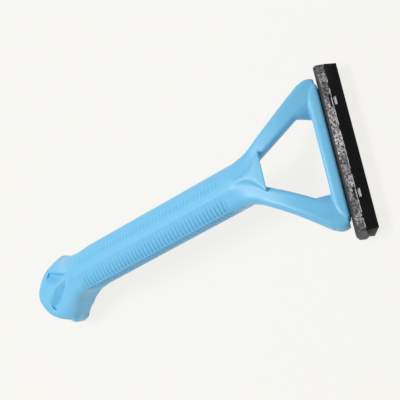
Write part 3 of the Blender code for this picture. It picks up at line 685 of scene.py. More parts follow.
@dataclass(frozen=True)
class SeatPlastic:
    """Dark plastic whose rear face carries a stipple with painted glints.

    The other faces are plain. Round each window the stipple gives way to a near-black patch of
    painted shade. rear is the rear face's direction, and the painted shade starts a given distance
    up the stack of blades.
    """

    dark: Colour = (0.022, 0.018, 0.022)
    # Near-white colour of the painted glints in the stipple
    light: Colour = (1.0, 0.91, 0.96)
    plain: Colour = (0.030, 0.033, 0.035)
    # Near-black colour of the painted shade round the windows
    window_shade: Colour = (0.004, 0.004, 0.004)
    worn: Colour = (0.2, 0.2, 0.2)
    smooth: float = 0.42
    rough: float = 0.6
    rear: tuple[float, float, float] = (0.74, 0.0, 0.672)
    rear_limits: tuple[float, float] = (0.90, 0.97)
    window_shade_half_width: float = 0.00152
    window_shade_stack: float = 0.03830
    stipple_scale: float = 2300.0
    stipple_depth: float = 0.00005
    stipple_strength: float = 0.5
    even_share: float = 0.30
    blotch_share: float = 0.85
    wear_reach: float = 0.06
    wear_amount: float = 0.12

    def make(self, spark: bpy.types.NodeTree, wear: bpy.types.NodeTree) -> bpy.types.Material:
        """Builds the material.

        Args:
            spark: The spark texture.
            wear: The edge wear.

        Returns:
            The material.
        """
        finish = Finish(Slot.SEAT)
        wiring = finish.wiring
        stipple = finish.group(spark, Stipple_Scale=self.stipple_scale)
        rubbed = finish.group(wear, Reach=self.wear_reach, Amount=self.wear_amount)
        lifted = wiring.maths("MULTIPLY", stipple.outputs["Blotch"], self.blotch_share)
        evened = wiring.maths("ADD", lifted, self.even_share)
        amount = wiring.maths("MULTIPLY", stipple.outputs["Sparkle"], evened)
        # The stipple's near-white speckles are painted glints on the dark plastic
        stipple_with_glints = wiring.mixed(amount, self.dark, self.light)
        facing = wiring.along(wiring.node("ShaderNodeTexCoord").outputs["Normal"], self.rear)
        is_rear = wiring.spread(facing, *self.rear_limits)
        # A near-black patch of painted shade round each window, where the stipple gives way
        window_shade = self.shade_round_windows(wiring)
        is_rear = wiring.maths("MULTIPLY", is_rear, wiring.maths("SUBTRACT", 1.0, window_shade))
        # Plain faces, darkened to painted shade round the windows
        smooth = wiring.mixed(window_shade, self.plain, self.window_shade)
        body = wiring.mixed(is_rear, smooth, stipple_with_glints)
        finish.colour(wiring.mixed(rubbed.outputs["Wear"], body, self.worn))
        finish.roughness(stipple.outputs["Blotch"], self.smooth, self.rough)
        finish.bump(stipple.outputs["Height"], self.stipple_depth, self.stipple_strength)
        return finish.material

    def shade_round_windows(self, wiring: Wiring) -> bpy.types.NodeSocket:
        """Marks where painted shade goes round the windows.

        Args:
            wiring: The material's wiring.

        Returns:
            1 in the painted shade and 0 elsewhere.
        """
        place = wiring.node("ShaderNodeTexCoord").outputs["Object"]
        split = wiring.node("ShaderNodeSeparateXYZ")
        wiring.link(place, split.inputs[0])
        across = wiring.maths("ABSOLUTE", split.outputs["Y"])
        aside = wiring.maths("ABSOLUTE", wiring.maths("SUBTRACT", across, WINDOW_PLACE))
        within = wiring.maths("LESS_THAN", aside, self.window_shade_half_width)
        stack = wiring.along(place, HEAD_UP)
        return wiring.maths("MULTIPLY", within, wiring.maths("GREATER_THAN", stack, self.window_shade_stack))


@dataclass(frozen=True)
class CapPlastic:
    """Smooth black plastic with rubbed edges."""

    colour: Colour = (0.0022, 0.0022, 0.0024)
    worn: Colour = (0.014, 0.014, 0.015)
    smooth: float = 0.46
    rough: float = 0.60
    grain_scale: float = 7000.0
    grain_depth: float = 0.00002
    grain_strength: float = 0.2
    wear_reach: float = 0.1
    wear_amount: float = 0.8
    specular: float = 0.14

    def make(self, grain: bpy.types.NodeTree, wear: bpy.types.NodeTree) -> bpy.types.Material:
        """Builds the material.

        Args:
            grain: The moulded grain.
            wear: The edge wear.

        Returns:
            The material.
        """
        finish = Finish(Slot.CAP)
        skin = finish.group(grain, Grain_Scale=self.grain_scale)
        rubbed = finish.group(wear, Reach=self.wear_reach, Amount=self.wear_amount)
        finish.colour(finish.wiring.mixed(rubbed.outputs["Wear"], self.colour, self.worn))
        finish.roughness(skin.outputs["Streaks"], self.smooth, self.rough)
        finish.bump(skin.outputs["Grain"], self.grain_depth, self.grain_strength)
        finish.shader.inputs["Specular IOR Level"].default_value = self.specular
        return finish.material


@dataclass(frozen=True)
class StripMetal:
    """A rolled metal strip: the steel of the blades or the aluminium of the spacer."""

    slot: Slot
    colour: Colour
    line_colour: Colour
    smooth: float
    rough: float
    line_scale: float = 5200.0
    line_depth: float = 0.00001
    line_strength: float = 0.15

    def make(self, lines: bpy.types.NodeTree) -> bpy.types.Material:
        """Builds the material.

        Args:
            lines: The rolling lines.

        Returns:
            The material.
        """
        finish = Finish(self.slot)
        rolled = finish.group(lines, Line_Scale=self.line_scale).outputs["Lines"]
        finish.colour(finish.wiring.mixed(rolled, self.colour, self.line_colour))
        finish.roughness(rolled, self.smooth, self.rough)
        finish.bump(rolled, self.line_depth, self.line_strength)
        finish.shader.inputs["Metallic"].default_value = 1.0
        return finish.material


BLADE_STEEL = StripMetal(
    slot=Slot.BLADE,
    colour=(0.72, 0.73, 0.74),
    line_colour=(0.60, 0.61, 0.62),
    smooth=0.16,
    rough=0.30,
)
SPACER_ALUMINIUM = StripMetal(
    slot=Slot.SPACER,
    colour=(0.86, 0.87, 0.88),
    line_colour=(0.76, 0.77, 0.78),
    smooth=0.28,
    rough=0.42,
)


class Moulding:
    """A moulded piece, which this script builds itself. slot is the record's slot for it."""

    slot: Slot

    def dress(self, item: bpy.types.Object, material: bpy.types.Material) -> None:
        """Gives the built piece its material.

        Args:
            item: The piece.
            material: Its material.
        """
        item.data.materials.clear()
        item.data.materials.append(material)


# The handle


@dataclass
class HandleMoulding(Moulding):
    """The handle: ribbed grip, hooked tail, bent yoke with its gusset, and rail.

    Its own frame starts on the grip's axis where the yoke begins to bend: X along the grip to the
    head, Z out of the ribbed side. lean and origin place that frame on the table. What is called
    far lies on the +Y side, away from the camera.
    """

    name: str = "handle_moulding"
    slot: Slot = Slot.HANDLE
    lean: float = LEAN
    origin: tuple[float, float, float] = ORIGIN

    # The grip
    grip_length: float = 0.0581
    grip_half_width: float = 0.0056
    spine_half_width: float = 0.0011
    spine_round: float = 0.0016
    crown: float = 0.0037
    shoulder: float = 0.0018
    shoulder_round: float = 0.0025
    floor_depth: float = 0.0041
    floor_half_width: float = 0.00445
    floor_round: float = 0.0009
    grip_rings: int = 12
    spine_steps: int = 4
    shoulder_steps: int = 10
    floor_steps: int = 5
    straight_share: float = 0.2

    # The ribs: each pair says where a mark starts and where it is full. A slope is the height
    # of the skin's direction, from 0 on an upright flank to 1 on a level roof.
    rib_pitch: float = 0.00128
    rib_depth: float = 0.00050
    rib_sharpness: float = 1.5
    rib_start: float = 0.0005
    rib_stop: float = 0.0019
    rib_rise: tuple[float, float] = (0.0006, 0.0022)
    roof_rib_depth: float = 0.00012
    roof_rib_growth: tuple[float, float] = (0.0018, 0.0042)
    roof_rib_fade: float = 0.0009
    tick_depth: float = 0.00020
    tick_inner: tuple[float, float] = (0.0005, 0.0010)
    tick_outer: tuple[float, float] = (0.0031, 0.0023)
    flank_slopes: tuple[float, float] = (0.6, 0.2)
    far_flank_slopes: tuple[float, float] = (0.5, 0.1)
    roof_slopes: tuple[float, float] = (0.3, 0.7)

    # The tail and its foot. The shares run from the grip to the tail's end, and end_shares are
    # the size of each closing ring and how far it stands out.
    tail_length: float = 0.0192
    tail_drop: float = 0.0040
    tail_half_width: float = 0.0094
    foot_half_width: float = 0.0074
    foot_depth: float = 0.0108
    foot_trim: float = 0.0008
    tail_sag: float = 0.01225
    foot_sag: float = 0.0045
    tail_end_round: float = 0.0012
    tail_shoulder_round: float = 0.0040
    tail_bow_share: float = 0.97
    tail_rings: int = 40
    foot_edge: float = -0.0095
    foot_round: float = 0.0003
    foot_give: float = 0.08
    tail_places: tuple[float, ...] = (0.0, 0.1, 0.2, 0.32, 0.46, 0.6, 0.74, 0.88, 1.0)
    crown_shares: tuple[float, ...] = (0.0, 0.05, 0.14, 0.32, 0.56, 0.78, 0.92, 0.98, 1.0)
    width_shares: tuple[float, ...] = (0.0, 0.03, 0.13, 0.38, 0.68, 0.94, 1.17, 1.28, 1.08)
    floor_shares: tuple[float, ...] = (0.13, 0.19, 0.25, 0.38, 0.51, 0.67, 0.86, 0.99, 1.03)
    flare_shares: tuple[float, ...] = (0.03, 0.2, 0.35, 0.51, 0.64, 0.72, 0.79, 0.9, 1.01)
    end_shares: tuple[tuple[float, float], ...] = (
        (0.975, 0.5),
        (0.94, 0.78),
        (0.88, 0.95),
        (0.8, 1.0),
        (0.4, 1.0),
    )

    # The two grooves with the tongue between them; the shares run along them to the tail
    groove_start: float = 0.0026
    groove_length: float = 0.0147
    groove_depth: float = 0.0014
    groove_neck: float = 0.0006
    groove_reach: float = 0.0058
    groove_wall: float = 0.0013
    far_groove_wall: float = 0.0008
    groove_ease_share: float = 0.5
    groove_first_share: float = 0.08
    groove_fork_share: float = 0.62
    groove_fade_share: float = 0.72
    groove_end_share: float = 0.6
    groove_rings: int = 24
    tail_tongue_half_width: float = 0.00015
    tail_tongue_end_half_width: float = 0.0030

    # The yoke, which bends down from the grip and spreads into two arms
    pitch: float = math.radians(37.15)
    bend_radius: float = 0.0327
    yoke_end: float = 0.0041
    splay: float = math.radians(39.5)
    arm_top: float = 0.0023
    arm_floor: float = 0.0021
    arm_round: float = 0.0016
    arm_land: float = 0.0002
    yoke_half_width: float = 0.0190
    corner_radius: float = 0.0031
    corner_inset: float = 0.0019
    corner_turn_share: float = 1.6
    plate_spine_share: float = 0.25
    yoke_rings: int = 40
    corner_rings: int = 16
    fork_blend: float = 0.0037
    floor_rise: float = 0.0020

    # The opening between the arms, with a hollow where it meets the rail
    fork_start: float = 0.0092
    fork_undercut: float = 0.0030
    opening_fork_half: float = 0.0034
    opening_half: float = 0.0101
    opening_corner_run: float = 0.0036
    opening_corner_taper: float = 0.0006
    opening_top_round: float = 0.0010
    opening_floor_round: float = 0.0027
    hollow_top_round: float = 0.0033
    hollow_floor_round: float = 0.0009
    fork_flare_share: float = 0.35
    flare_turn_share: float = 0.8
    flare_steps: int = 8
    opening_rings: int = 20
    hollow_rings: int = 6

    # The gusset in the fork, the valleys beside it and its soft run-out
    gusset_length: float = 0.0070
    gusset_half_width: float = 0.0051
    gusset_top: float = 0.0033
    gusset_tip: float = 0.0003
    gusset_slope: float = 0.0007
    gusset_curve: float = 2.2
    gusset_setback: float = 0.0003
    gusset_overrun: float = 0.0011
    gusset_rings: int = 16
    valley_depth: float = 0.00011
    far_valley_share: float = 3.0
    valley_width: float = 0.0020
    valley_lip: tuple[float, float] = (-0.0002, 0.0003)
    valley_curve: float = 0.7
    valley_least_height: float = 0.0015
    run_out_lead: float = 0.0020
    run_out_edge: tuple[float, float] = (0.0003, 0.0022)
    run_out_side: float = 0.0028

    # The rail across the arms, and the tongue that plugs into the seat
    rail_width: float = 0.00285
    rail_reach: float = 0.00016
    rail_half_length: float = 0.0168
    rail_end_curve: float = 0.0064
    rail_rise: float = 0.0004
    rail_proud: float = 0.0003
    rail_floor: float = 0.0018
    rail_round: float = 0.0008
    rail_back_run: float = 0.0017
    rail_front_round: float = 0.0007
    rail_chamfer_share: float = 0.3
    rail_rings: int = 20
    rail_tongue_inset: float = 0.0008
    rail_tongue_height: float = 0.0018
    rail_tongue_depth: float = 0.0006
    rail_gap: float = 0.0003

    # The cored pockets of the underside
    pocket_wall: float = 0.0015
    pocket_roof: float = 0.0021
    pocket_pitch: float = 0.0108
    web: float = 0.0012
    draft: float = 0.0003
    foot_pocket_length: float = 0.0090
    foot_pocket_half_width: float = 0.0034
    foot_pocket_roof: float = 0.0026

    # The cutters' overrun and the even net of faces, made enlarged and then smoothed
    overrun: float = 0.0010
    voxel: float = 0.00018
    enlargement: float = 1000.0
    give: float = 0.5
    smoothing: int = 6
    gusset_smoothing: int = 48

    def __post_init__(self) -> None:
        """Works out the lengths that follow from others."""
        self.arc = self.bend_radius * self.pitch
        self.yoke_length = self.arc + self.yoke_end
        self.rail_start = self.yoke_length - self.rail_width
        self.corner = self.rail_start - self.opening_corner_run

    def on_table(self) -> Matrix:
        """Returns the matrix from the handle's frame to the table's."""
        return Matrix.Translation(self.origin) @ Matrix.Rotation(-self.lean, 4, "Y")

    def along(self, run: float, across: float, height: float) -> Vector:
        """A point from its place along the bent middle line.

        Args:
            run: Distance along the line from the bend's start.
            across: Distance to the side.
            height: Distance above the line.

        Returns:
            The point in the handle's frame.
        """
        if run <= 0:
            return Vector((run, across, height))
        turned = min(run / self.bend_radius, self.pitch)
        radius = self.bend_radius + height
        level = radius * math.cos(turned) - self.bend_radius
        point = Vector((radius * math.sin(turned), across, level))
        beyond = max(run - self.arc, 0.0)
        return point + Vector((math.cos(turned), 0.0, -math.sin(turned))) * beyond

    def half(
        self,
        crown: float,
        spine: float,
        shoulder: tuple[float, float],
        floor: tuple[float, float],
        rounds: tuple[float, float],
    ) -> Half:
        """Half a section of the handle.

        Args:
            crown: Height of the spine.
            spine: Half its width.
            shoulder: The upper corner.
            floor: The lower corner.
            rounds: Radii of both corners.

        Returns:
            The points from the top to the bottom.
        """
        return rounded_half(
            [
                (0.0, crown, 0.0, 0),
                (spine, crown, self.spine_round, self.spine_steps),
                (*shoulder, rounds[0], self.shoulder_steps),
                (*floor, rounds[1], self.floor_steps),
                (0.0, floor[1], 0.0, 0),
            ],
            self.straight_share,
        )

    def tail_half(self, share: float) -> Half:
        """Returns half the section at a share of the tail's length."""
        drop = self.tail_drop * table_value(self.tail_places, self.crown_shares, share)
        widening = table_value(self.tail_places, self.width_shares, share)
        depth = table_value(self.tail_places, self.floor_shares, share)
        flare = table_value(self.tail_places, self.flare_shares, share)
        width = blend(self.grip_half_width, self.tail_half_width, widening)
        floor = blend(self.floor_depth, self.foot_depth + self.foot_trim, depth)
        low_width = blend(self.floor_half_width, self.foot_half_width, flare)
        upper = blend(self.shoulder_round, self.tail_shoulder_round, widening)
        lower = blend(self.floor_round, self.foot_round, min(depth, 1.0))
        return self.half(
            self.crown - drop,
            self.spine_half_width,
            (width, self.shoulder - drop),
            (low_width, -floor),
            (upper, lower),
        )

    def tail_point(self, share: float, across: float, height: float, extra: float = 0.0) -> Vector:
        """A point of the tail, whose end is bowed in plan.

        Args:
            share: Share of the tail's length.
            across: Distance to the side.
            height: Height above the grip's axis.
            extra: Distance beyond the tail's end.

        Returns:
            The point in the handle's frame.
        """
        depth = ease((self.shoulder - height) / (self.shoulder + self.foot_depth))
        width = blend(self.tail_half_width, self.foot_half_width, depth)
        sag = blend(self.tail_sag, self.foot_sag, depth)
        reach = min(abs(across) / width, self.tail_bow_share)
        bow = sag * (1.0 - math.sqrt(1.0 - reach**2)) * share**2
        x = -self.grip_length - self.tail_length * share + bow - extra
        return Vector((x, across, height))

    def outer(self, run: float) -> float:
        """Returns half the yoke's width at a place along its middle line."""
        slope = math.tan(self.splay)
        middle = self.yoke_length - self.corner_inset
        side = self.yoke_half_width - self.corner_radius
        touch_run = middle - self.corner_radius * math.sin(self.splay)
        touch = side + self.corner_radius * math.cos(self.splay)
        if run > touch_run:
            reach = (run - middle) / self.corner_radius
            return side + self.corner_radius * math.sqrt(max(1.0 - reach * reach, 0.0))
        straight = touch - slope * (touch_run - run) - self.grip_half_width
        return self.grip_half_width + (straight + math.hypot(straight, self.fork_blend)) / 2

    def yoke_half(self, run: float) -> Half:
        """Returns half the section of the yoke, which flattens into a plate."""
        flat = ease(run / self.fork_start)
        width = self.outer(run)
        rounds = (
            blend(self.shoulder_round, self.arm_round, flat),
            blend(self.floor_round, self.arm_round, flat),
        )
        depth = blend(self.floor_depth, self.arm_floor, ease(run / self.floor_rise))
        return self.half(
            blend(self.crown, self.arm_top, flat),
            blend(self.spine_half_width, width * self.plate_spine_share, flat),
            (width, blend(self.shoulder, self.arm_top, flat)),
            (blend(self.floor_half_width, width, flat), -depth),
            rounds,
        )

    def body(self) -> bpy.types.Object:
        """Builds the loft from the tail's end to the yoke's end."""
        rings: list[list[Vector]] = []
        last = ring_of(self.tail_half(1.0))
        centre = Vector((0.0, -(self.foot_depth - self.crown + self.tail_drop) / 2))
        for size, reach in reversed(self.end_shares):
            ring = [centre + (point - centre) * size for point in last]
            extra = self.tail_end_round * reach
            rings.append([self.tail_point(1.0, p.x, p.y, extra) for p in ring])
        for index in range(self.tail_rings, -1, -1):
            share = index / self.tail_rings
            rings.append([self.tail_point(share, p.x, p.y) for p in ring_of(self.tail_half(share))])
        plain = ring_of(self.yoke_half(0.0))
        for index in range(1, self.grip_rings):
            x = -self.grip_length * (1.0 - index / self.grip_rings)
            rings.append([Vector((x, p.x, p.y)) for p in plain])
        end = self.yoke_length - self.rail_proud
        turn = self.corner_radius * self.corner_turn_share
        runs = [(end - turn) * index / self.yoke_rings for index in range(self.yoke_rings + 1)]
        for index in range(1, self.corner_rings + 1):
            runs.append(end - turn + turn * math.sin(math.pi / 2 * index / self.corner_rings))
        for run in runs:
            rings.append([self.along(run, p.x, p.y) for p in ring_of(self.yoke_half(run))])
        return loft("handle_shell", rings)

    def opening_half_width(self, run: float) -> float:
        """Returns half the opening's width at a place along the middle line."""
        if run <= self.corner:
            share = (run - self.fork_start) / (self.corner - self.fork_start)
            return blend(self.opening_fork_half, self.opening_half, share)
        share = (run - self.corner) / self.opening_corner_run
        return self.opening_half - self.opening_corner_taper * share

    def flared(self, face: float, radius: float) -> list[tuple[float, float]]:
        """The opening's side near one face.

        Args:
            face: Distance of the face from the middle surface.
            radius: Radius of the arm's edge there.

        Returns:
            (distance from the middle surface, how far the side flares) of each point.
        """
        points = []
        for step in range(self.flare_steps + 1):
            angle = math.pi / 2 * self.flare_turn_share * step / self.flare_steps
            flare = radius * (1.0 - math.cos(angle)) / math.cos(self.splay)
            points.append((face - radius + radius * math.sin(angle), flare))
        slope = (points[-1][1] - points[-2][1]) / (points[-1][0] - points[-2][0])
        beyond = self.overrun
        points.append((points[-1][0] + beyond, points[-1][1] + slope * beyond))
        return points

    def opening(self) -> bpy.types.Object:
        """Builds the cutter for the triangle between the arms."""
        count = self.opening_rings
        runs = [blend(self.fork_start, self.corner, i / count) for i in range(count + 1)]
        end, count = self.rail_start + self.rail_proud, self.hollow_rings
        runs += [blend(self.corner, end, i / count) for i in range(1, count + 1)]
        rings = []
        for run in runs:
            fork = max(self.corner - run, 0.0) / (self.corner - self.fork_start)
            hollow = max(run - self.corner, 0.0) / self.opening_corner_run
            top_round = blend(self.opening_top_round, self.hollow_top_round, hollow)
            low_round = blend(self.opening_floor_round, self.hollow_floor_round, hollow)
            room = self.arm_top + self.arm_floor - top_round - self.arm_land
            top = self.flared(self.arm_top, top_round)
            low = self.flared(self.arm_floor, min(low_round, room))
            width = self.opening_half_width(run)
            flare_share = blend(1.0, self.fork_flare_share, fork)
            right = [(width + flare * flare_share, -height) for height, flare in reversed(low)]
            right += [(width + flare, height) for height, flare in top]
            left = [(-across, height) for across, height in reversed(right)]
            turned = min(run / self.bend_radius, self.pitch)
            backward = Vector((-math.cos(turned), 0.0, math.sin(turned)))
            ring = []
            for across, height in right + left:
                depth = (self.gusset_top - height) / (self.gusset_top + self.arm_floor)
                shift = self.fork_undercut * fork**2 * depth
                ring.append(self.along(run, across, height) + backward * shift)
            rings.append(ring)
        return loft("opening", rings)

    def gusset(self) -> bpy.types.Object:
        """Builds the plateau in the fork, which widens to a crisp edge over the opening."""
        rings = []
        start = self.fork_start - self.gusset_length
        for step in range(self.gusset_rings + 2):
            share = min(step / self.gusset_rings, 1.0)
            widening = share**self.gusset_curve
            width = blend(self.gusset_tip, self.gusset_half_width, widening)
            past = -self.gusset_setback
            if step > self.gusset_rings:
                width = self.opening_half_width(self.fork_start)
                past = self.gusset_overrun
            top = blend(self.crown, self.gusset_top, share) + self.gusset_tip * (1 - share)
            run = start + self.gusset_length * share + past
            ring = [
                (-width - self.gusset_slope, 0.0),
                (-width, top),
                (width, top),
                (width + self.gusset_slope, 0.0),
            ]
            rings.append([self.along(run, across, height) for across, height in ring])
        return loft("gusset", rings)

    def rail(self) -> bpy.types.Object:
        """Builds the bar across the yoke's end."""
        rings = []
        base = self.rail_half_length - self.rail_end_curve
        top = self.arm_top + self.rail_rise
        edge = self.rail_round / 2
        nick = edge * self.rail_chamfer_share
        for step in range(self.rail_rings + 1):
            share = step / self.rail_rings
            width = base + self.rail_end_curve * math.sqrt(1.0 - (1.0 - share) ** 2)
            back = min(share * self.rail_width / self.rail_back_run, 1.0)
            front = min((1.0 - share) * self.rail_width / self.rail_front_round, 1.0)
            drop = self.rail_round * (1.0 - math.sqrt(1.0 - (1.0 - back) ** 2))
            drop += self.rail_front_round * (1.0 - math.sqrt(1.0 - (1.0 - front) ** 2))
            run = self.rail_start + (self.rail_width + self.rail_reach) * share
            ring = [
                (-width, -self.rail_floor),
                (-width, top - drop - edge),
                (-width + nick, top - drop - nick),
                (-width + edge, top - drop),
                (width - edge, top - drop),
                (width - nick, top - drop - nick),
                (width, top - drop - edge),
                (width, -self.rail_floor),
            ]
            rings.append([self.along(run, across, height) for across, height in ring])
        return loft("rail", rings)

    def rail_tongue(self) -> bpy.types.Object:
        """Builds the tongue that plugs into the seat."""
        rings = []
        across = self.rail_half_length - self.rail_tongue_inset
        up = self.rail_tongue_height / 2
        end = self.yoke_length + self.rail_gap + self.rail_tongue_depth
        for run in (self.yoke_length - self.rail_width / 2, end):
            corners = ((-1, -1), (1, -1), (1, 1), (-1, 1))
            rings.append([self.along(run, y * across, z * up) for y, z in corners])
        return loft("rail_tongue", rings)

    def tail_surface(self, share: float, across: float) -> float:
        """Height of the tail's top.

        Args:
            share: Share of the tail's length.
            across: Distance to the side.

        Returns:
            The height above the grip's axis.
        """
        drop = self.tail_drop * table_value(self.tail_places, self.crown_shares, share)
        widening = table_value(self.tail_places, self.width_shares, share)
        width = blend(self.grip_half_width, self.tail_half_width, widening)
        roof = max(abs(across) - self.spine_half_width, 0.0) / (width - self.spine_half_width)
        return blend(self.crown, self.shoulder, roof) - drop

    def groove(self, side: int) -> bpy.types.Object:
        """Builds the cutter for one groove beside the tail's tongue.

        Args:
            side: 1 or -1.

        Returns:
            The cutter.
        """
        rings = []
        wall = self.far_groove_wall if side > 0 else self.groove_wall
        for step in range(self.groove_rings + 1):
            share = step / self.groove_rings
            started = ease(share / self.groove_ease_share)
            forked = max(share - self.groove_fork_share, 0.0) / (1.0 - self.groove_fork_share)
            fading = ease((share - self.groove_fade_share) / (1.0 - self.groove_fade_share))
            place = (self.groove_start + self.groove_length * share) / self.tail_length
            outer = blend(self.groove_neck, self.groove_reach, share)
            bottom = outer - wall * started
            tongue = blend(self.tail_tongue_half_width, self.tail_tongue_end_half_width, forked)
            tongue = min(tongue, bottom - self.tail_tongue_half_width)
            depth = self.groove_depth * blend(self.groove_first_share, 1.0, started)
            depth *= blend(1.0, self.groove_end_share, fading)
            floor = self.tail_surface(place, outer) - depth
            slope = (bottom - tongue) / (self.tail_surface(place, tongue) - floor)
            over = self.overrun
            lip = (outer - bottom) * min(over / depth, 1.0)
            points = (
                (outer + lip, self.tail_surface(place, outer) + over),
                (bottom, floor),
                (tongue - slope * over, self.tail_surface(place, tongue) + over),
            )
            rings.append([self.tail_point(place, side * y, z) for y, z in points])
        return loft("groove", rings)

    def pocket(
        self, low: float, high: float, half: float, roof: float, depth: float
    ) -> bpy.types.Object:
        """Builds the cutter for one cored pocket, open at the underside.

        Args:
            low: Its end towards the tail.
            high: Its end towards the head.
            half: Half its width.
            roof: Height of its top.
            depth: Depth of the handle's underside there.

        Returns:
            The cutter.
        """
        rings = []
        for grow, height in ((0.0, roof), (self.draft, -depth - self.overrun)):
            width = half + grow
            corners = (
                (low - grow, -width),
                (high + grow, -width),
                (high + grow, width),
                (low - grow, width),
            )
            rings.append([Vector((x, y, height)) for x, y in corners])
        return loft("pocket", rings)

    def pockets(self) -> list[bpy.types.Object]:
        """Returns the cutters of all pockets."""
        made = []
        for index in range(int((self.grip_length - self.web) / self.pocket_pitch)):
            high = -self.web - self.pocket_pitch * index
            low = high - (self.pocket_pitch - self.web)
            half = self.floor_half_width - self.pocket_wall
            roof = self.crown - self.pocket_roof
            made.append(self.pocket(low, high, half, roof, self.floor_depth))
        high = -self.grip_length - self.web
        low = high - self.foot_pocket_length
        half = self.foot_pocket_half_width
        made.append(self.pocket(low, high, half, -self.foot_pocket_roof, self.foot_depth))
        return made

    def soften(self, item: bpy.types.Object) -> None:
        """Gives the moulding its soft edges: an even net of faces, then smoothing.

        Args:
            item: The moulding, in the handle's frame.
        """
        item.data.transform(Matrix.Scale(self.enlargement, 4))
        modifier = item.modifiers.new("net", "REMESH")
        modifier.mode = "VOXEL"
        modifier.voxel_size = self.voxel * self.enlargement
        settle(item)
        item.data.transform(Matrix.Scale(1.0 / self.enlargement, 4))
        keep_largest(item.data)
        mesh = item.data
        points = read_points(mesh)
        edges = np.empty(len(mesh.edges) * 2, dtype=np.int64)
        mesh.edges.foreach_get("vertices", edges)
        edges = edges.reshape(-1, 2)
        firm = (points[:, 2] < self.foot_edge) & (points[:, 0] < -self.grip_length)
        give = np.where(firm, self.foot_give, self.give)[:, None]
        for _ in range(self.smoothing):
            points = points + give * (neighbours_mean(points, edges) - points)
        points = self.carve_valleys(points)
        softer = self.give * self.near_gusset(points)[:, None]
        for _ in range(self.gusset_smoothing):
            points = points + softer * (neighbours_mean(points, edges) - points)
        write_points(mesh, points)

    def carve_valleys(self, points: np.ndarray) -> np.ndarray:
        """Sinks a soft valley into the yoke along both sides of the gusset.

        Args:
            points: Places in the handle's frame, one row each.

        Returns:
            The moved places.
        """
        turned = np.arctan2(points[:, 0], points[:, 2] + self.bend_radius)
        run = turned * self.bend_radius
        share = np.clip((run - self.fork_start) / self.gusset_length + 1.0, 0.0, 1.0)
        half = blend(self.gusset_tip, self.gusset_half_width, share**self.gusset_curve)
        beside = np.abs(points[:, 1]) - half
        depth = steps_between(*self.valley_lip, beside)
        depth *= steps_between(self.valley_width, self.valley_lip[1], beside)
        depth *= np.sin(np.pi * share) ** self.valley_curve * self.valley_depth
        above = np.hypot(points[:, 0], points[:, 2] + self.bend_radius) - self.bend_radius
        depth *= above > self.valley_least_height
        depth *= np.where(points[:, 1] > 0.0, self.far_valley_share, 1.0)
        moved = points.copy()
        moved[:, 0] -= depth * np.sin(turned)
        moved[:, 2] -= depth * np.cos(turned)
        return moved

    def near_gusset(self, points: np.ndarray) -> np.ndarray:
        """Marks where the gusset runs softly out into the yoke.

        That is everywhere round it but at its edge over the opening, which stays crisp.

        Args:
            points: Places in the handle's frame, one row each.

        Returns:
            One share for each point, from 0 to 1.
        """
        run, side = points[:, 0], np.abs(points[:, 1])
        start = self.fork_start - self.gusset_length
        crisp, soft = (self.fork_start - short for short in self.run_out_edge)
        beyond = self.gusset_half_width + self.run_out_side
        share = steps_between(start - self.run_out_lead, start, run)
        share *= steps_between(crisp, soft, run)
        share *= steps_between(beyond, self.gusset_half_width, side)
        return share * (points[:, 2] > 0.0)

    def press_ribs(self, item: bpy.types.Object) -> None:
        """Presses the ribs into both sides of the grip. Beside the spine they are fine ticks.

        Args:
            item: The softened moulding, in the handle's frame.
        """
        mesh = item.data
        points = read_points(mesh)
        normals = np.empty(len(mesh.vertices) * 3)
        mesh.vertex_normals.foreach_get("vector", normals)
        normals = normals.reshape(-1, 3)
        start = -self.grip_length + self.rib_start
        stop = -self.rib_stop
        count = round((stop - start) / self.rib_pitch)
        pitch = (stop - start) / count
        turn = (points[:, 0] - start) / pitch
        valley = (0.5 - 0.5 * np.cos(2.0 * np.pi * turn)) ** self.rib_sharpness
        ends = steps_between(start, start + pitch, points[:, 0])
        ends *= steps_between(stop, stop - pitch, points[:, 0])
        across, height, slope = points[:, 1], points[:, 2], normals[:, 2]
        width = np.abs(across)
        outside = (width > self.floor_half_width - self.pocket_wall / 2).astype(float)
        flank = steps_between(*self.flank_slopes, slope) * outside
        low, high = (rise - self.floor_depth for rise in self.rib_rise)
        flank *= steps_between(low, high, height)
        far_flank = flank * steps_between(*self.far_flank_slopes, slope)
        flank = self.rib_depth * np.where(across < 0.0, flank, far_flank)
        top = steps_between(*self.roof_slopes, slope) * (height > 0.0)
        spine = -self.spine_half_width
        near = top * steps_between(spine, spine - self.roof_rib_fade, across)
        growth = steps_between(*self.roof_rib_growth, width)
        near *= blend(self.roof_rib_depth, self.rib_depth, growth)
        far = steps_between(*self.tick_inner, across) * steps_between(*self.tick_outer, across)
        ticks = self.tick_depth * (top * far)
        depth = valley * ends * np.maximum(flank, np.maximum(near, ticks))
        write_points(mesh, points - normals * depth[:, None])

    def flatten_foot(self, item: bpy.types.Object) -> None:
        """Cuts the foot off at the table and levels its edge.

        Args:
            item: The moulding, in the table's frame.
        """
        points = read_points(item.data)
        points[:, 2] = np.maximum(points[:, 2], 0.0)
        write_points(item.data, points)

    def build(self) -> bpy.types.Object:
        """Builds the whole moulding on the table and returns it."""
        item = self.body()
        combine(item, self.gusset(), Work.JOIN)
        combine(item, self.opening(), Work.CUT)
        combine(item, self.rail(), Work.JOIN)
        combine(item, self.rail_tongue(), Work.JOIN)
        for side in (-1, 1):
            combine(item, self.groove(side), Work.CUT)
        for cutter in self.pockets():
            combine(item, cutter, Work.CUT)
        self.soften(item)
        self.press_ribs(item)
        item.data.transform(self.on_table())
        self.flatten_foot(item)
        item.data.shade_smooth()
        item.name = self.name
        return item


# The head


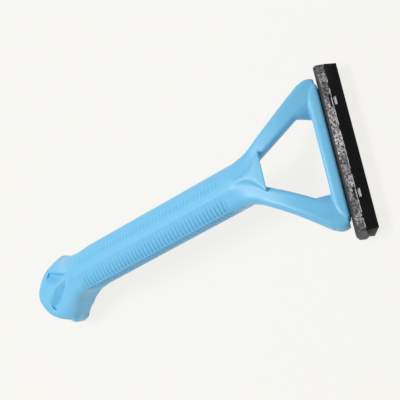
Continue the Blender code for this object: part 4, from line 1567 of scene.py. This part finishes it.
@dataclass
class HeadShell(Moulding):
    """A plastic piece of the head, with the soft edges of a moulding.

    The cap has black bars, which close the gap between the blades behind the windows as a stand-in
    for the shade there. bar_stack and bar_rearward are their places along the head's own directions.
    """

    node: str
    name: str
    slot: Slot
    edge: float = 0.00012
    edge_steps: int = 3
    edge_angle: float = math.radians(25.0)
    sharp_angle: float = math.radians(40.0)
    flat_angle: float = math.radians(1.0)
    weld: float = 0.000002
    shade_bars: tuple[float, ...] = ()
    bar_half_width: float = 0.0015
    bar_stack: tuple[float, float] = (0.03905, 0.03941)
    bar_rearward: tuple[float, float] = (0.03325, 0.03400)

    def bar(self, middle: float) -> bpy.types.Object:
        """Builds the black bar that closes the gap between the blades behind one window, standing in
        for the shade there.

        Args:
            middle: Where the window is across the head.

        Returns:
            The bar, in the table's frame.
        """
        low, high = self.bar_stack
        front, rear = self.bar_rearward
        corners = ((low, front), (high, front), (high, rear), (low, rear))
        rings = []
        for side in (-1, 1):
            aside = Vector((0.0, middle + side * self.bar_half_width, 0.0))
            rings.append([HEAD_UP * up + HEAD_BACK * back + aside for up, back in corners])
        return loft("bar", rings)

    def build(self) -> bpy.types.Object:
        """Copies the CAD solid, rounds its edges and returns the piece."""
        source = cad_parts[self.node]
        item = bpy.data.objects.new(self.name, source.data.copy())
        bpy.context.scene.collection.objects.link(item)
        shape = bmesh.new()
        shape.from_mesh(item.data)
        bmesh.ops.remove_doubles(shape, verts=shape.verts[:], dist=self.weld)
        bmesh.ops.dissolve_limit(
            shape, angle_limit=self.flat_angle, verts=shape.verts[:], edges=shape.edges[:]
        )
        shape.to_mesh(item.data)
        shape.free()
        # Black bars behind the windows stand in for the shade in the gap between the blades
        for middle in self.shade_bars:
            combine(item, self.bar(middle), Work.JOIN)
        modifier = item.modifiers.new("edge", "BEVEL")
        modifier.width = self.edge
        modifier.segments = self.edge_steps
        modifier.limit_method = "ANGLE"
        modifier.angle_limit = self.edge_angle
        modifier.use_clamp_overlap = True
        settle(item)
        item.data.shade_smooth()
        item.data.set_sharp_from_angle(angle=self.sharp_angle)
        return item


@dataclass
class RolledStrip:
    """A blade or the spacer, which keeps its CAD shape and gets a better material."""

    node: str

    def dress(self, material: bpy.types.Material) -> None:
        """Gives the CAD node its material.

        Args:
            material: The material.
        """
        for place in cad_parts[self.node].material_slots:
            place.material = material
        log.info("%s keeps its CAD shape", self.node)


# The studio


@dataclass
class Studio:
    """The pale floor, the light and the camera.

    camera_rows turn the camera; their columns are its right, up and backward directions.
    """

    camera_place: tuple[float, float, float] = (0.269461, -0.130003, 0.315065)
    camera_rows: tuple[tuple[float, float, float], ...] = (
        (0.695216, 0.369878, 0.616360),
        (-0.212630, 0.924900, -0.315200),
        (-0.686653, 0.088076, 0.721648),
    )
    lens: float = 155.2177
    sensor: float = 36.0
    clip: tuple[float, float] = (0.01, 20.0)
    floor_size: float = 6.0
    floor_grain_scale: float = 900.0
    floor_grain_share: float = 1.02
    floor_colour: Colour = (0.82, 0.815, 0.80)
    seen_colour: Colour = (0.930, 0.920, 0.885)
    seen_share: float = 0.90
    sky: float = 0.46
    sky_colour: Colour = (0.90, 0.98, 1.0)
    key_colour: Colour = (1.0, 0.98, 0.95)
    key_power: float = 3.75
    key_size: float = 0.30
    key_place: tuple[float, float, float] = (-0.18, 0.06, 0.67)

    def camera(self) -> None:
        """Sets the camera at the photograph's place and angle."""
        data = bpy.data.cameras.new("camera")
        data.lens = self.lens
        data.sensor_width = self.sensor
        data.clip_start, data.clip_end = self.clip
        item = bpy.data.objects.new("camera", data)
        bpy.context.scene.collection.objects.link(item)
        turn = Matrix(self.camera_rows).to_4x4()
        item.matrix_world = Matrix.Translation(self.camera_place) @ turn
        bpy.context.scene.camera = item

    def floor(self) -> None:
        """Lays the floor, which looks near white to the camera and keeps the shadow."""
        shape = bmesh.new()
        bmesh.ops.create_grid(shape, x_segments=1, y_segments=1, size=self.floor_size / 2)
        item = object_of("floor", shape)
        material = bpy.data.materials.new("floor_card")
        material.use_nodes = True
        wiring = Wiring(material.node_tree)
        card = wiring.node("ShaderNodeBsdfDiffuse")
        place = wiring.node("ShaderNodeTexCoord").outputs["Object"]
        noise = wiring.node("ShaderNodeTexNoise", Scale=self.floor_grain_scale, Detail=2.0)
        wiring.link(place, noise.inputs["Vector"])
        lighter = tuple(value * self.floor_grain_share for value in self.floor_colour)
        tone = wiring.mixed(noise.outputs["Fac"], self.floor_colour, lighter)
        wiring.link(tone, card.inputs["Color"])
        glow = wiring.node("ShaderNodeEmission", Strength=1.0)
        glow.inputs["Color"].default_value = (*self.seen_colour, 1.0)
        rays = wiring.node("ShaderNodeLightPath").outputs
        seen = wiring.maths("MAXIMUM", rays["Is Camera Ray"], rays["Is Glossy Ray"])
        seen = wiring.maths("MAXIMUM", seen, rays["Is Transmission Ray"])
        both = wiring.node("ShaderNodeMixShader")
        wiring.link(wiring.maths("MULTIPLY", seen, self.seen_share), both.inputs[0])
        wiring.link(card.outputs[0], both.inputs[1])
        wiring.link(glow.outputs[0], both.inputs[2])
        output = wiring.node("ShaderNodeOutputMaterial")
        wiring.link(both.outputs[0], output.inputs[0])
        item.data.materials.append(material)

    def lights(self) -> None:
        """Sets a soft key light from the upper left and an even sky."""
        world = bpy.data.worlds.new("studio")
        world.use_nodes = True
        sky = world.node_tree.nodes["Background"]
        sky.inputs["Color"].default_value = (*self.sky_colour, 1.0)
        sky.inputs["Strength"].default_value = self.sky
        bpy.context.scene.world = world
        data = bpy.data.lights.new("key", "AREA")
        data.energy = self.key_power
        data.color = self.key_colour
        data.size = self.key_size
        item = bpy.data.objects.new("key", data)
        bpy.context.scene.collection.objects.link(item)
        item.location = self.key_place
        aim = Vector((0.0, 0.0, 0.0)) - Vector(self.key_place)
        item.rotation_euler = aim.to_track_quat("-Z", "Y").to_euler()


# Assembly


def main() -> None:
    """Builds and dresses every piece, then the studio."""
    logging.basicConfig(level=logging.INFO, format="%(message)s")
    bpy.context.scene.view_settings.view_transform = "Standard"
    grain = moulded_grain_group()
    wear = edge_wear_group()
    spark = spark_texture_group()
    lines = rolling_lines_group()
    blue = HandlePlastic().make(grain, wear)
    grey = SeatPlastic().make(spark, wear)
    black = CapPlastic().make(grain, wear)
    steel = BLADE_STEEL.make(lines)
    aluminium = SPACER_ALUMINIUM.make(lines)

    handle = HandleMoulding()
    item = handle.build()
    handle.dress(item, blue)
    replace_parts(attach(item, "root"), "handle")
    log.info("handle: %d faces", len(item.data.polygons))

    seat = HeadShell("blade_seat", "seat_moulding", Slot.SEAT, edge=0.00008)
    windows = (-WINDOW_PLACE, WINDOW_PLACE)
    # The cap's bars are black plastic put behind the windows as the shade of the blades' gap
    cap = HeadShell("head_cap", "cap_moulding", Slot.CAP, shade_bars=windows)
    for shell, material in ((seat, grey), (cap, black)):
        item = shell.build()
        shell.dress(item, material)
        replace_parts(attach(item, "root"), shell.node)
        log.info("%s: %d faces", shell.name, len(item.data.polygons))

    for node, material in (
        ("lower_blade", steel),
        ("upper_blade", steel),
        ("blade_spacer", aluminium),
    ):
        RolledStrip(node).dress(material)

    studio = Studio()
    studio.camera()
    studio.floor()
    studio.lights()


if __name__ == "__main__":
    main()
